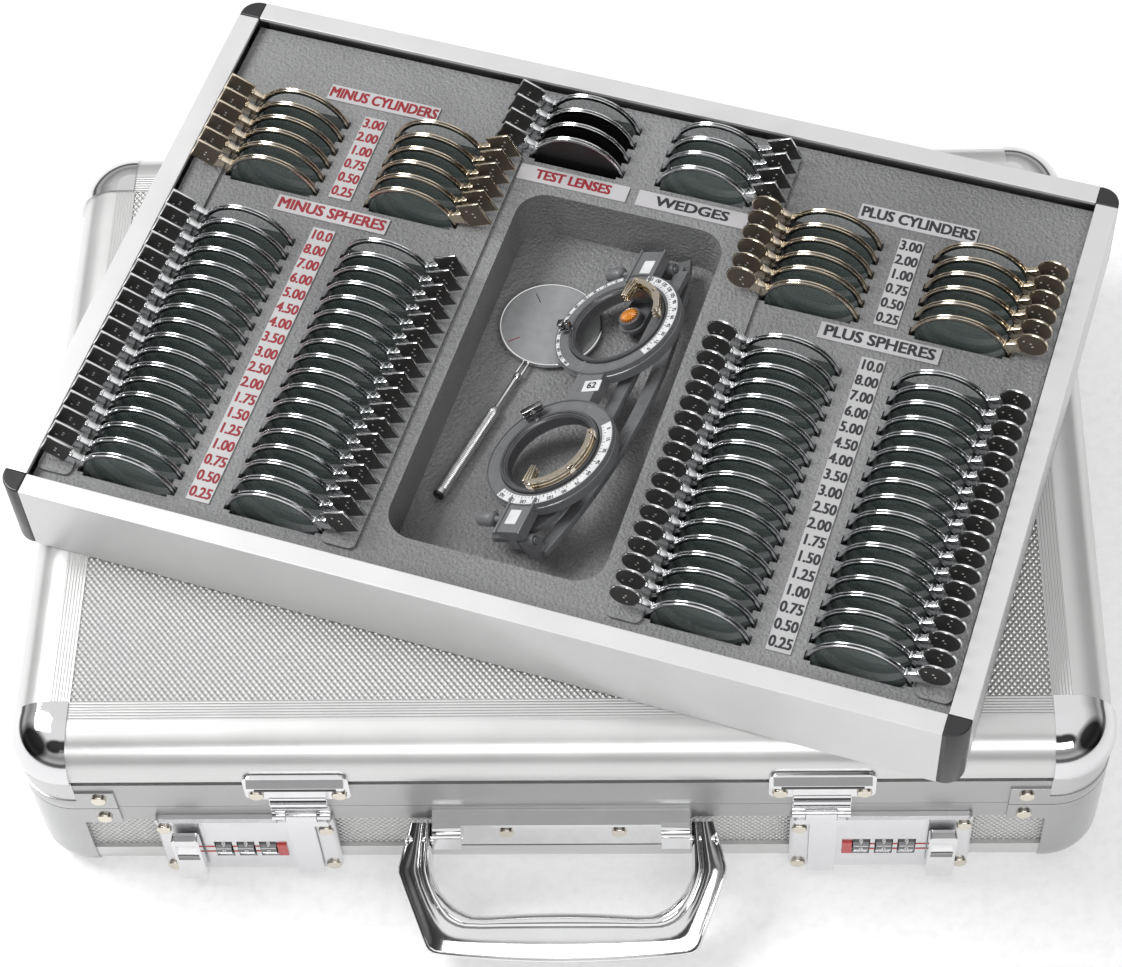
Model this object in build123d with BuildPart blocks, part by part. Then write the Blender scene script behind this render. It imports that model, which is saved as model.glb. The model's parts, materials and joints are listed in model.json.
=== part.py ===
# Optician's trial lens set: a lens tray lying askew on its closed carrying case.
#
# Frame: millimetres, +Z up, X to the right, the case's front face towards -Y.
# The origin is the centre of the case's underside, on the surface it stands on.
# The tray's pieces are built on planes of the tray's own frame, and the trial
# frame's and the hand lens's pieces on planes of theirs.

import os
from math import cos, radians, sin

from build123d import *

# ---------------------------------------------------------------- case sizes
BODY_W = 384.4          # outside of the aluminium rails, left to right
BODY_D = 274.4          # outside of the aluminium rails, front to back
CASE_H = 82.0           # underside to the top of the lid's edge rails
CORNER_R = 20.0         # plan radius of the rails' vertical corners
SKIN = 1.8              # rails stand this far outside the textured panels
PROUD = 0.8             # corner caps stand this far outside the rails
BALL_PROUD = 1.5        # the lid's plated corner balls stand out further
BALL_Z = 66.0           # where a ball starts above its skirt
WALL = 4.0              # panel thickness
SEAM_Z = 47.0           # where lid and base meet
SEAM_GAP = 0.2

BASE_FLANGE = 1.0       # bottom rail's flange, under the base panel
BASE_EDGE_R = 9.8       # rounding of the underside's edge
BASE_RAIL_H = 15.0      # bottom rail's height on the wall
BASE_RIM_Z = 37.6       # lower edge of the base's seam rail
BASE_EAR_Z = 36.5       # lower edge of the base corner's ears
FLANGE_W = 16.0         # width of the flange ring inside the rounded edge

LID_EDGE_R = 14.7       # rounding of the lid's top edge
LID_LIP = 1.8           # thickness of the top lip over the panel's board
LID_RAIL_Z = 65.5       # lower edge of the lid's edge rail
LID_RIM_TOP = 63.1      # upper edge of the lid's seam rail
LID_BAND_TOP = 53.0     # where the lid's corner cap starts above the seam band
LID_EAR_Z = 58.5        # upper edge of the seam bracket's ears
PANEL_W = 340.0         # textured top panel
PANEL_D = 228.2
PANEL_SINK = 0.5        # panel surface below the rails' top

CAP_X = 170.4           # corner caps start here along X
CAP_Y = 114.3           # and here along Y
EAR = 13.8              # ears reach this much further along the walls

LINING = 2.0
FOAM = 12.0             # foam slab in the lid
RIVET_R = 2.7
RIVET_H = 1.2

# ------------------------------------------------------------- fittings sizes
PLATE_X = (80.8, 145.0)         # lock plate, inboard and outboard ends
PLATE_Z = (3.5, 41.0)
PLATE_T = 3.0
DIAL_X = (106.3, 114.4, 122.5)
DIAL_Z = 19.5
DIAL_R = 5.6
DIAL_W = 5.6
AXLE_R = 1.0
DIAL_FIT = 0.06
RED_X = 101.3
BUTTON_X = 134.6
BUTTON_W = 9.8
BUTTON_Z = (5.0, 35.0)
BUTTON_TRAVEL = 3.5
PLATE_RIVETS = ((141.8, 36.4), (84.0, 34.5), (142.2, 7.4), (84.0, 7.4))

LATCH_X = 91.4                  # centre of the latch bracket and its knuckle
LATCH_W = 37.0
LATCH_Z = (54.5, 70.5)
LATCH_RIVET_DX = 14.6
KNUCKLE_W = 20.4
KNUCKLE_Z = 46.6
KNUCKLE_Y = 140.2               # distance of the latch hinge axis in front of the centre
KNUCKLE_R = 2.1
HASP_X = 92.3
HASP_W = 9.6
HASP_Z = (3.8, 41.5)

HANDLE_PIVOT_Y = 143.6
HANDLE_PIVOT_Z = 33.0
HANDLE_DROOP = 30.0             # degrees below horizontal, resting just off the ground
HANDLE_T = 8.0
HANDLE_PIN_R = 2.0
BRACKET_HALF = 45.4

HINGE_X = 110.0
HINGE_W = 52.0
HINGE_Y = 139.8
HINGE_R = 2.4
HINGE_PIN_R = 1.3

# ----------------------------------------------------------------- tray sizes
TRAY_W = 350.0
TRAY_D = 240.5
TRAY_H = 33.4
TRAY_AT = (5.0, 17.1)           # tray centre over the case
TRAY_YAW = -17.24               # degrees
RAIL_W = 8.2
RAIL_T = 1.6
CORNER_POST = 8.4
BOARD_Z = (1.6, 3.6)
INSERT_TOP = TRAY_H - 5.0
WELL_W = 80.0
WELL_Y = (-96.0, 63.0)
WELL_R = 11.0
WELL_FLOOR = TRAY_H - 28.0
LEDGE_H = 1.2

LENS_R = 19.0
LENS_T = 2.2
APERTURE_R = 17.2
GLASS_T = 1.6
LENS_Z = TRAY_H - 9.5           # height of the lens centres above the tray's underside
SLOT_R = LENS_R + 0.3
SLOT_W = LENS_T + 1.6
TROUGH_R = 16.8
OUTER_COLUMN = 133.5
INNER_COLUMN = 77.3
TEST_COLUMN = 24.9
SPHERE_ROWS = [-101.2 + 6.812 * n for n in range(18)]
CYLINDER_ROWS = [39.7 + 6.82 * n for n in range(6)]
TEST_ROWS = [80.1 + 7.27 * n for n in range(4)]

TAB_ANGLE = 27.0                # handles rise this many degrees above horizontal
SLEEVE = (17.6, 24.2)           # sleeve from and to, measured from the lens centre
SLEEVE_W = 4.8
SLEEVE_T = 2.0
TAB_END = 33.9
TAB_W = 11.4
TAB_T = 0.9
ROUND_TAB_R = 5.9
ROUND_TAB_AT = 28.7

TITLE = (44.8, 7.4)
TITLE_T = 0.6
STRIP_W = 8.8
BLOCK_X = 105.9                 # centre line of the titles and number strips

# ------------------------------------------------- trial frame and hand lens
PD = 62.0                       # distance between the two lens cells
CELL_R = 20.2
CELL_BORE = 16.8
HOUSING_R = 24.8
HOUSING_T = 4.2
BACK_T = 1.2
CELL_FIT = 0.25
NECK_R = 19.2
LUG_X = PD / 2 + 34.4
HINGE_DROP = 7.0
TEMPLE_W = 5.5
TEMPLE_T = 2.4
KNOB_AT = (42.0, 3.0)

HAND_R = 19.5
HAND_T = 1.8
HAND_GRIP = (43.0, 86.5)
HAND_GRIP_R = 2.3

BASE_TOP = SEAM_Z - SEAM_GAP / 2
LID_BOTTOM = SEAM_Z + SEAM_GAP / 2
FRONT = -BODY_D / 2
SIDES = (-1, 1)
SIDE_NAMES = {-1: "left", 1: "right"}

TRAY = Plane(
    origin=(TRAY_AT[0], TRAY_AT[1], CASE_H),
    x_dir=(cos(radians(TRAY_YAW)), sin(radians(TRAY_YAW)), 0),
    z_dir=(0, 0, 1),
)
SPECTACLE = Plane(
    TRAY.location
    * Location((8.5, -15.0, TRAY_H - 8.9), (-4, -25, 0))
    * Location((0, 0, 0), (0, 0, 84.6))
)
HAND_LENS = Plane(
    TRAY.location
    * Location((-16.5, 20.0, TRAY_H - 26.4), (0, 0, -99.6))
    * Location((0, 0, 0), (0, -1.5, 0))
)


def level(plane, z):
    """The plane at height z above a frame's own origin."""
    return plane.offset(z)


def upright(plane, y):
    """The X-Z plane of a frame, at y, with its normal towards -Y."""
    return Plane(plane.location * Location((0, y, 0), (90, 0, 0)))


def save(builder, name):
    """Label a finished piece and write its STEP file."""
    builder.part.label = name
    export_step(builder.part, f"parts/{name}.step")


def front_plane(y):
    """Upright plane facing the front, y in front of the centre; its Y axis is Z."""
    return Plane(origin=(0, -y, 0), x_dir=(1, 0, 0), z_dir=(0, -1, 0))


def side_plane(x):
    """Upright plane facing +X at x; its X axis is Y and its Y axis is Z."""
    return Plane(origin=(x, 0, 0), x_dir=(0, 1, 0), z_dir=(1, 0, 0))


os.makedirs("parts", exist_ok=True)

# ------------------------------------------------------- construction bodies
# Not pieces themselves: the outline of the rails, the outline of the panels
# and the outline of the corner caps, cut up below into the real pieces.


def base_body(grow, z, edge_r):
    with BuildPart() as body:
        with BuildSketch(Plane.XY.offset(z)):
            RectangleRounded(BODY_W + 2 * grow, BODY_D + 2 * grow, CORNER_R + grow)
        extrude(amount=BASE_TOP - z)
        fillet(body.edges().group_by(Axis.Z)[0], edge_r)
    return body.part


def lid_body(grow, top, edge_r):
    with BuildPart() as body:
        with BuildSketch(Plane.XY.offset(LID_BOTTOM)):
            RectangleRounded(BODY_W + 2 * grow, BODY_D + 2 * grow, CORNER_R + grow)
        extrude(amount=top - LID_BOTTOM)
        fillet(body.edges().group_by(Axis.Z)[-1], edge_r)
    return body.part


def corner_zones(reach_x, reach_y, low, high):
    """Four boxes over the case's corners, from the given distances outwards."""
    with BuildPart() as zones:
        with BuildSketch(Plane.XY.offset(low)):
            for sx in SIDES:
                for sy in SIDES:
                    with Locations((sx * (reach_x + 50), sy * (reach_y + 50))):
                        Rectangle(100, 100)
        extrude(amount=high - low)
    return zones.part


BASE_OUTER = base_body(0, 0, BASE_EDGE_R)
BASE_PANEL = base_body(-SKIN, BASE_FLANGE, BASE_EDGE_R - SKIN + BASE_FLANGE / 2)
BASE_CAP = base_body(PROUD, 0, BASE_EDGE_R + PROUD / 2)
LID_OUTER = lid_body(0, CASE_H, LID_EDGE_R)
LID_PANEL = lid_body(-SKIN, CASE_H - LID_LIP, LID_EDGE_R - SKIN)
LID_CAP = lid_body(PROUD / 2, CASE_H, LID_EDGE_R)
LID_BALL = lid_body(BALL_PROUD, CASE_H + PROUD, LID_EDGE_R + 2.0)

# -------------------------------------------------------------------- base
with BuildPart() as base_shell:
    add(BASE_PANEL)
    with BuildSketch(Plane.XY.offset(BASE_FLANGE + WALL)):
        RectangleRounded(
            BODY_W - 2 * (SKIN + WALL), BODY_D - 2 * (SKIN + WALL), CORNER_R - SKIN - WALL
        )
    extrude(amount=CASE_H, mode=Mode.SUBTRACT)
    with BuildSketch(front_plane(BODY_D / 2)):
        for side in SIDES:
            with Locations((side * (DIAL_X[1] - 0.5), DIAL_Z)):
                Rectangle(33.0, 14.0)
    extrude(amount=-(SKIN + WALL), mode=Mode.SUBTRACT)
save(base_shell, "base_shell")

with BuildPart() as base_edge_rails:
    add(BASE_OUTER)
    with BuildSketch(Plane.XY.offset(BASE_RAIL_H)):
        Rectangle(2 * BODY_W, 2 * BODY_D)
    extrude(amount=CASE_H, mode=Mode.SUBTRACT)
    add(BASE_PANEL, mode=Mode.SUBTRACT)
    with BuildSketch(Plane.XY):
        Rectangle(
            BODY_W - 2 * (BASE_EDGE_R + FLANGE_W), BODY_D - 2 * (BASE_EDGE_R + FLANGE_W)
        )
    extrude(amount=BASE_FLANGE, mode=Mode.SUBTRACT)
    add(corner_zones(CAP_X, CAP_Y, -1, CASE_H), mode=Mode.SUBTRACT)
    with BuildSketch(front_plane(BODY_D / 2)):
        for side in SIDES:
            with Locations((side * (DIAL_X[1] - 0.5), DIAL_Z)):
                Rectangle(33.0, 14.0)
    extrude(amount=-(SKIN + WALL), mode=Mode.SUBTRACT)
save(base_edge_rails, "base_edge_rails")

with BuildPart() as base_rim_rails:
    with BuildSketch(Plane.XY.offset(BASE_RIM_Z)):
        RectangleRounded(BODY_W, BODY_D, CORNER_R)
        RectangleRounded(
            BODY_W - 2 * SKIN, BODY_D - 2 * SKIN, CORNER_R - SKIN, mode=Mode.SUBTRACT
        )
    extrude(amount=BASE_TOP - BASE_RIM_Z)
    add(corner_zones(CAP_X, CAP_Y, 0, CASE_H), mode=Mode.SUBTRACT)
save(base_rim_rails, "base_rim_rails")

with BuildPart() as base_corner_caps:
    add(BASE_CAP)
    add(BASE_PANEL, mode=Mode.SUBTRACT)
    with BuildSketch(Plane.XY.offset(-1)):
        Rectangle(2 * CAP_X, 4 * BODY_D)
        Rectangle(4 * BODY_W, 2 * CAP_Y)
    extrude(amount=CASE_H, mode=Mode.SUBTRACT)
    with BuildSketch(Plane.XY.offset(BASE_EAR_Z)):
        RectangleRounded(BODY_W + 2 * PROUD, BODY_D + 2 * PROUD, CORNER_R + PROUD)
        RectangleRounded(BODY_W, BODY_D, CORNER_R, mode=Mode.SUBTRACT)
        Rectangle(2 * (CAP_X - EAR), 4 * BODY_D, mode=Mode.SUBTRACT)
        with Locations((-BODY_W, 0), (BODY_W, 0)):
            Rectangle(BODY_W, 2 * (CAP_Y - EAR), mode=Mode.SUBTRACT)
    extrude(amount=BASE_TOP - BASE_EAR_Z)
save(base_corner_caps, "base_corner_caps")

with BuildPart() as base_lining:
    with BuildSketch(Plane.XY.offset(BASE_FLANGE + WALL)):
        RectangleRounded(
            BODY_W - 2 * (SKIN + WALL), BODY_D - 2 * (SKIN + WALL), CORNER_R - SKIN - WALL
        )
    extrude(amount=BASE_TOP - 2.0 - BASE_FLANGE - WALL)
    with BuildSketch(Plane.XY.offset(BASE_FLANGE + WALL + LINING)):
        RectangleRounded(
            BODY_W - 2 * (SKIN + WALL + LINING),
            BODY_D - 2 * (SKIN + WALL + LINING),
            CORNER_R - SKIN - WALL - LINING,
        )
    extrude(amount=CASE_H, mode=Mode.SUBTRACT)
    with BuildSketch(front_plane(BODY_D / 2)):
        for side in SIDES:
            with Locations((side * (DIAL_X[1] - 0.5), DIAL_Z)):
                Rectangle(33.0, 14.0)
    extrude(amount=-(SKIN + WALL + LINING), mode=Mode.SUBTRACT)
save(base_lining, "base_lining")

# --------------------------------------------------------------------- lid
with BuildPart() as lid_shell:
    add(LID_PANEL)
    with BuildSketch(Plane.XY.offset(CASE_H - LID_LIP)):
        Rectangle(PANEL_W, PANEL_D)
    extrude(amount=LID_LIP - PANEL_SINK)
    with BuildSketch(Plane.XY.offset(LID_BOTTOM)):
        RectangleRounded(
            BODY_W - 2 * (SKIN + WALL), BODY_D - 2 * (SKIN + WALL), CORNER_R - SKIN - WALL
        )
    extrude(amount=LID_RIM_TOP + 6 - LID_BOTTOM, mode=Mode.SUBTRACT)
    with BuildSketch(Plane.XY.offset(LID_BOTTOM)):
        RectangleRounded(PANEL_W + 16, PANEL_D + 16, 6)
    extrude(amount=CASE_H - LID_LIP - WALL - LID_BOTTOM, mode=Mode.SUBTRACT)
save(lid_shell, "lid_shell")

with BuildPart() as lid_edge_rails:
    add(LID_OUTER)
    add(LID_PANEL, mode=Mode.SUBTRACT)
    with BuildSketch(Plane.XY.offset(CASE_H - LID_LIP)):
        Rectangle(PANEL_W, PANEL_D)
    extrude(amount=LID_LIP, mode=Mode.SUBTRACT)
    with BuildSketch(Plane.XY.offset(LID_BOTTOM)):
        Rectangle(2 * BODY_W, 2 * BODY_D)
    extrude(amount=LID_RAIL_Z - LID_BOTTOM, mode=Mode.SUBTRACT)
    add(corner_zones(CAP_X, CAP_Y, 0, 2 * CASE_H), mode=Mode.SUBTRACT)
save(lid_edge_rails, "lid_edge_rails")

with BuildPart() as lid_rim_rail:
    with BuildSketch(Plane.XY.offset(LID_BOTTOM)):
        RectangleRounded(BODY_W, BODY_D, CORNER_R)
        RectangleRounded(
            BODY_W - 2 * SKIN, BODY_D - 2 * SKIN, CORNER_R - SKIN, mode=Mode.SUBTRACT
        )
    extrude(amount=LID_RIM_TOP - LID_BOTTOM)
    add(corner_zones(CAP_X, CAP_Y, LID_BAND_TOP, CASE_H), mode=Mode.SUBTRACT)
save(lid_rim_rail, "lid_rim_rail")

with BuildPart() as lid_corner_caps:
    add(LID_BALL)
    with BuildSketch(Plane.XY.offset(LID_BOTTOM)):
        Rectangle(2 * BODY_W, 2 * BODY_D)
    extrude(amount=BALL_Z - LID_BOTTOM, mode=Mode.SUBTRACT)
    add(LID_CAP)
    add(LID_PANEL, mode=Mode.SUBTRACT)
    with BuildSketch(Plane.XY.offset(LID_BOTTOM)):
        Rectangle(2 * CAP_X, 4 * BODY_D)
        Rectangle(4 * BODY_W, 2 * CAP_Y)
    extrude(amount=CASE_H, mode=Mode.SUBTRACT)
    with BuildSketch(Plane.XY.offset(LID_BOTTOM)):
        Rectangle(2 * BODY_W, 2 * BODY_D)
    extrude(amount=LID_BAND_TOP - LID_BOTTOM, mode=Mode.SUBTRACT)
save(lid_corner_caps, "lid_corner_caps")

with BuildPart() as lid_seam_brackets:
    with BuildSketch(Plane.XY.offset(LID_BOTTOM)):
        RectangleRounded(BODY_W + 2 * PROUD, BODY_D + 2 * PROUD, CORNER_R + PROUD)
        RectangleRounded(BODY_W, BODY_D, CORNER_R, mode=Mode.SUBTRACT)
        Rectangle(2 * (CAP_X - EAR), 4 * BODY_D, mode=Mode.SUBTRACT)
        with Locations((-BODY_W, 0), (BODY_W, 0)):
            Rectangle(BODY_W, 2 * (CAP_Y - EAR), mode=Mode.SUBTRACT)
    extrude(amount=LID_EAR_Z - LID_BOTTOM)
    add(corner_zones(CAP_X, CAP_Y, LID_BAND_TOP, CASE_H), mode=Mode.SUBTRACT)
save(lid_seam_brackets, "lid_seam_brackets")

with BuildPart() as lid_lining:
    with BuildSketch(Plane.XY.offset(CASE_H - LID_LIP - WALL - FOAM)):
        RectangleRounded(PANEL_W + 16, PANEL_D + 16, 6)
    extrude(amount=FOAM)
save(lid_lining, "lid_lining")


# ------------------------------------------------------------------- rivets
def rivet_heads(spots):
    """Low domed heads, each on a plane whose normal points out of the case."""
    with BuildPart() as heads:
        for plane in spots:
            with BuildSketch(plane):
                Circle(RIVET_R)
            extrude(amount=RIVET_H)
        fillet(heads.edges().filter_by(lambda e: is_outer_rim(e)), 0.6)
    return heads


def is_outer_rim(edge):
    """True for the free end of a rivet head: the edge further from the case's centre."""
    centre = edge.center(CenterOf.MASS)
    return any(
        abs(abs(value) - (half + lift + RIVET_H)) < 0.05
        for value, half in ((centre.X, BODY_W / 2), (centre.Y, BODY_D / 2))
        for lift in (PROUD, 1.2, PLATE_T + 0.1)
    )


def ear_rivet_planes(z):
    """Two rivets at each corner: one on the front or rear wall, one on the side wall."""
    spots = []
    for sx in SIDES:
        for sy in SIDES:
            spots.append(
                Plane(
                    origin=(sx * (CAP_X - 8), sy * (BODY_D / 2 + PROUD), z),
                    x_dir=(1, 0, 0),
                    z_dir=(0, sy, 0),
                )
            )
            spots.append(
                Plane(
                    origin=(sx * (BODY_W / 2 + PROUD), sy * (CAP_Y - 8), z),
                    x_dir=(0, 1, 0),
                    z_dir=(sx, 0, 0),
                )
            )
    return spots


def fitting_rivet_planes(points, lift):
    return [
        Plane(origin=(x, FRONT - lift, z), x_dir=(1, 0, 0), z_dir=(0, -1, 0))
        for x, z in points
    ]


PLATE_RIVET_POINTS = [(side * x, z) for side in SIDES for x, z in PLATE_RIVETS]
BRACKET_RIVET_POINTS = [(side * 20.2, 28.4) for side in SIDES]
LATCH_RIVET_POINTS = [
    (side * LATCH_X + step * LATCH_RIVET_DX, 58.2) for side in SIDES for step in SIDES
]

base_rivets = rivet_heads(
    ear_rivet_planes(40.8)
    + fitting_rivet_planes(PLATE_RIVET_POINTS, PLATE_T + 0.1)
    + fitting_rivet_planes(BRACKET_RIVET_POINTS, 1.2)
)
save(base_rivets, "base_rivets")

lid_rivets = rivet_heads(ear_rivet_planes(54.2) + fitting_rivet_planes(LATCH_RIVET_POINTS, 1.2))
save(lid_rivets, "lid_rivets")

# -------------------------------------------------------------------- locks
with BuildPart() as lock_plates:
    for side in SIDES:
        middle = side * (PLATE_X[0] + PLATE_X[1]) / 2
        with BuildSketch(front_plane(BODY_D / 2 + 0.1)):
            with Locations((middle, (PLATE_Z[0] + PLATE_Z[1]) / 2)):
                RectangleRounded(PLATE_X[1] - PLATE_X[0], PLATE_Z[1] - PLATE_Z[0], 2.0)
        extrude(amount=PLATE_T)
    chamfer(lock_plates.faces().sort_by(Axis.Y)[0:2].edges(), 1.0)
    for side in SIDES:
        with BuildSketch(front_plane(BODY_D / 2 + 0.1)):
            with Locations([(side * x, DIAL_Z) for x in DIAL_X]):
                Rectangle(DIAL_W + 0.8, 11.2)
            with Locations((side * RED_X, DIAL_Z)):
                Rectangle(3.6, 9.0)
            with Locations((side * (BUTTON_X + BUTTON_TRAVEL / 2), DIAL_Z)):
                Rectangle(4.0 + BUTTON_TRAVEL, 6.0)
        extrude(amount=PLATE_T, mode=Mode.SUBTRACT)
        with BuildSketch(side_plane(side * (DIAL_X[1] - 0.5) - 14.9)):
            with Locations((FRONT + 1.6, DIAL_Z)):
                Rectangle(3.4, 6.0)
            with Locations((FRONT + 1.4, DIAL_Z)):
                Circle(AXLE_R, mode=Mode.SUBTRACT)
        extrude(amount=2.0)
        with BuildSketch(side_plane(side * (DIAL_X[1] - 0.5) + 12.9)):
            with Locations((FRONT + 1.6, DIAL_Z)):
                Rectangle(3.4, 6.0)
            with Locations((FRONT + 1.4, DIAL_Z)):
                Circle(AXLE_R, mode=Mode.SUBTRACT)
        extrude(amount=2.0)
save(lock_plates, "lock_plates")

with BuildPart() as lock_indicators:
    for side in SIDES:
        with BuildSketch(front_plane(BODY_D / 2 + 0.1)):
            with Locations((side * RED_X, DIAL_Z)):
                Rectangle(3.6, 9.0)
        extrude(amount=PLATE_T + 0.8)
save(lock_indicators, "lock_indicators")

for side in SIDES:
    for number, x in enumerate(DIAL_X, start=1):
        with BuildPart() as dial:
            with BuildSketch(side_plane(side * x - DIAL_W / 2)):
                with Locations((FRONT + 1.4, DIAL_Z)):
                    RegularPolygon(DIAL_R, 20)
                    Circle(AXLE_R + DIAL_FIT, mode=Mode.SUBTRACT)
            extrude(amount=DIAL_W)
        save(dial, f"{SIDE_NAMES[side]}_dial_{number}")

    with BuildPart() as button:
        x = side * BUTTON_X
        with BuildSketch(front_plane(BODY_D / 2 + PLATE_T + 1.5)):
            with Locations((x, (BUTTON_Z[0] + BUTTON_Z[1]) / 2)):
                RectangleRounded(BUTTON_W, BUTTON_Z[1] - BUTTON_Z[0], 1.2)
        extrude(amount=3.4)
        with BuildSketch(side_plane(x - BUTTON_W / 2 + 1.0)):
            with Locations((FRONT - PLATE_T - 9.6, 25.5)):
                Circle(7.2)
        extrude(amount=BUTTON_W - 2.0, mode=Mode.SUBTRACT)
        with BuildSketch(front_plane(BODY_D / 2 - 1.3)):
            with Locations((x, DIAL_Z)):
                Rectangle(7.0, 7.4)
        extrude(amount=1.1)
        with BuildSketch(front_plane(BODY_D / 2 - 0.4)):
            with Locations((x, DIAL_Z)):
                Rectangle(3.4, 5.4)
        extrude(amount=PLATE_T + 2.0)
    save(button, f"{SIDE_NAMES[side]}_lock_button")

# ------------------------------------------------------------------ latches
with BuildPart() as latch_brackets:
    for side in SIDES:
        x = side * LATCH_X
        with BuildSketch(front_plane(BODY_D / 2)):
            with Locations((x, (LATCH_Z[0] + LATCH_Z[1]) / 2)):
                RectangleRounded(LATCH_W, LATCH_Z[1] - LATCH_Z[0], 3.0)
        extrude(amount=1.2)
        with BuildSketch(side_plane(x - LATCH_W / 2 + 1.5)):
            with BuildLine():
                Polyline(
                    (FRONT - 1.0, 64.0),
                    (FRONT - 3.4, 64.8),
                    (FRONT - 3.4, 66.6),
                    (FRONT - 1.0, 69.4),
                    close=True,
                )
            make_face()
        extrude(amount=LATCH_W - 3.0)
        with BuildSketch(side_plane(x - KNUCKLE_W / 2)):
            with Locations((-KNUCKLE_Y, KNUCKLE_Z)):
                Circle(KNUCKLE_R)
            with Locations((FRONT - 1.6, 56.0)):
                Rectangle(3.2, 16.0)
        extrude(amount=KNUCKLE_W)
        with BuildSketch(side_plane(x - 5.6)):
            with Locations((-KNUCKLE_Y, KNUCKLE_Z)):
                Circle(KNUCKLE_R + 0.5)
        extrude(amount=11.2, mode=Mode.SUBTRACT)
        with BuildSketch(side_plane(x - 5.8)):
            with Locations((-KNUCKLE_Y, KNUCKLE_Z)):
                Circle(0.9)
        extrude(amount=11.6)
save(latch_brackets, "latch_brackets")

for side in SIDES:
    with BuildPart() as hasp:
        x = side * LATCH_X
        with BuildSketch(side_plane(x - 5.4)):
            with Locations((-KNUCKLE_Y, KNUCKLE_Z)):
                Circle(KNUCKLE_R)
            with Locations((-KNUCKLE_Y - 1.4, KNUCKLE_Z - 2.6)):
                Rectangle(1.4, 5.2)
            with Locations((-KNUCKLE_Y, KNUCKLE_Z)):
                Circle(0.95, mode=Mode.SUBTRACT)
        extrude(amount=10.8)
        with BuildSketch(front_plane(KNUCKLE_Y + 0.7)):
            with Locations((x, 42.6)):
                RectangleRounded(18.6, 3.4, 1.0)
            with Locations((side * HASP_X, (HASP_Z[0] + HASP_Z[1] + 1) / 2)):
                Rectangle(HASP_W, HASP_Z[1] + 1 - HASP_Z[0])
        extrude(amount=1.4)
    save(hasp, f"{SIDE_NAMES[side]}_hasp")

# ------------------------------------------------------------------- handle
PIVOT = (FRONT - HANDLE_PIVOT_Y + BODY_D / 2, HANDLE_PIVOT_Z)

with BuildPart() as handle_bracket:
    with BuildSketch(side_plane(-BRACKET_HALF)):
        with BuildLine():
            Polyline(
                (FRONT, 18.5),
                (FRONT - 1.2, 18.5),
                (FRONT - 1.2, 40.6),
                (FRONT - 5.2, 39.6),
                (FRONT - 5.2, 41.4),
                (FRONT - 1.6, 45.6),
                (FRONT, 45.6),
                close=True,
            )
        make_face()
    extrude(amount=2 * BRACKET_HALF)
    for side in SIDES:
        with BuildSketch(side_plane(side * (BRACKET_HALF - 5.0) - 5.0)):
            with Locations((FRONT - 4.7, 35.2)):
                RectangleRounded(9.4, 13.6, 3.0)
            with Locations((PIVOT[0], PIVOT[1])):
                Circle(HANDLE_PIN_R, mode=Mode.SUBTRACT)
        extrude(amount=10.0)
        with BuildSketch(side_plane(side * (BRACKET_HALF - 5.0) - 5.0)):
            with Locations((PIVOT[0], PIVOT[1])):
                Circle(HANDLE_PIN_R)
        extrude(amount=10.0, mode=Mode.SUBTRACT)
save(handle_bracket, "handle_bracket")

# Pins pressed into the base's fittings: two handle pivots and two dial axles.
with BuildPart() as pivot_pins:
    for side in SIDES:
        with BuildSketch(side_plane(side * (BRACKET_HALF + 0.4) - 8.4)):
            with Locations(PIVOT):
                Circle(HANDLE_PIN_R)
        extrude(amount=16.8)
        with BuildSketch(side_plane(side * (DIAL_X[1] - 0.5) - 14.9)):
            with Locations((FRONT + 1.4, DIAL_Z)):
                Circle(AXLE_R)
        extrude(amount=29.8)
save(pivot_pins, "pivot_pins")

GRIP = Plane(
    origin=(0, PIVOT[0], PIVOT[1]),
    x_dir=(1, 0, 0),
    z_dir=(0, -sin(radians(HANDLE_DROOP)), cos(radians(HANDLE_DROOP))),
)

with BuildPart() as handle:
    with BuildSketch(level(GRIP, -HANDLE_T / 2)):
        with BuildLine():
            Polyline((46.0, 6.0), (54.0, 6.0), (58.7, -11.0), (48.6, -38.6), (46.4, -40.4))
            ThreePointArc((46.4, -40.4), (0, -43.5), (-46.4, -40.4))
            Polyline((-46.4, -40.4), (-48.6, -38.6), (-58.7, -11.0), (-54.0, 6.0), (-46.0, 6.0))
            Line((-46.0, 6.0), (-46.0, -11.0))
            ThreePointArc((-46.0, -11.0), (-41.6, -21.0), (-31.0, -27.4))
            ThreePointArc((-31.0, -27.4), (0, -26.3), (31.0, -27.4))
            ThreePointArc((31.0, -27.4), (41.6, -21.0), (46.0, -11.0))
            Line((46.0, -11.0), (46.0, 6.0))
        make_face()
    extrude(amount=HANDLE_T)
    with BuildSketch(side_plane(-70)):
        with Locations(PIVOT):
            Circle(HANDLE_PIN_R + DIAL_FIT)
    extrude(amount=140, mode=Mode.SUBTRACT)
save(handle, "handle")


# -------------------------------------------------------------- rear hinges
def knuckle_spans(x):
    """Five knuckles along a hinge: the first, third and fifth belong to the base."""
    length = HINGE_W / 5
    return [(x - HINGE_W / 2 + n * length + 0.15, length - 0.3) for n in range(5)]


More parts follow.
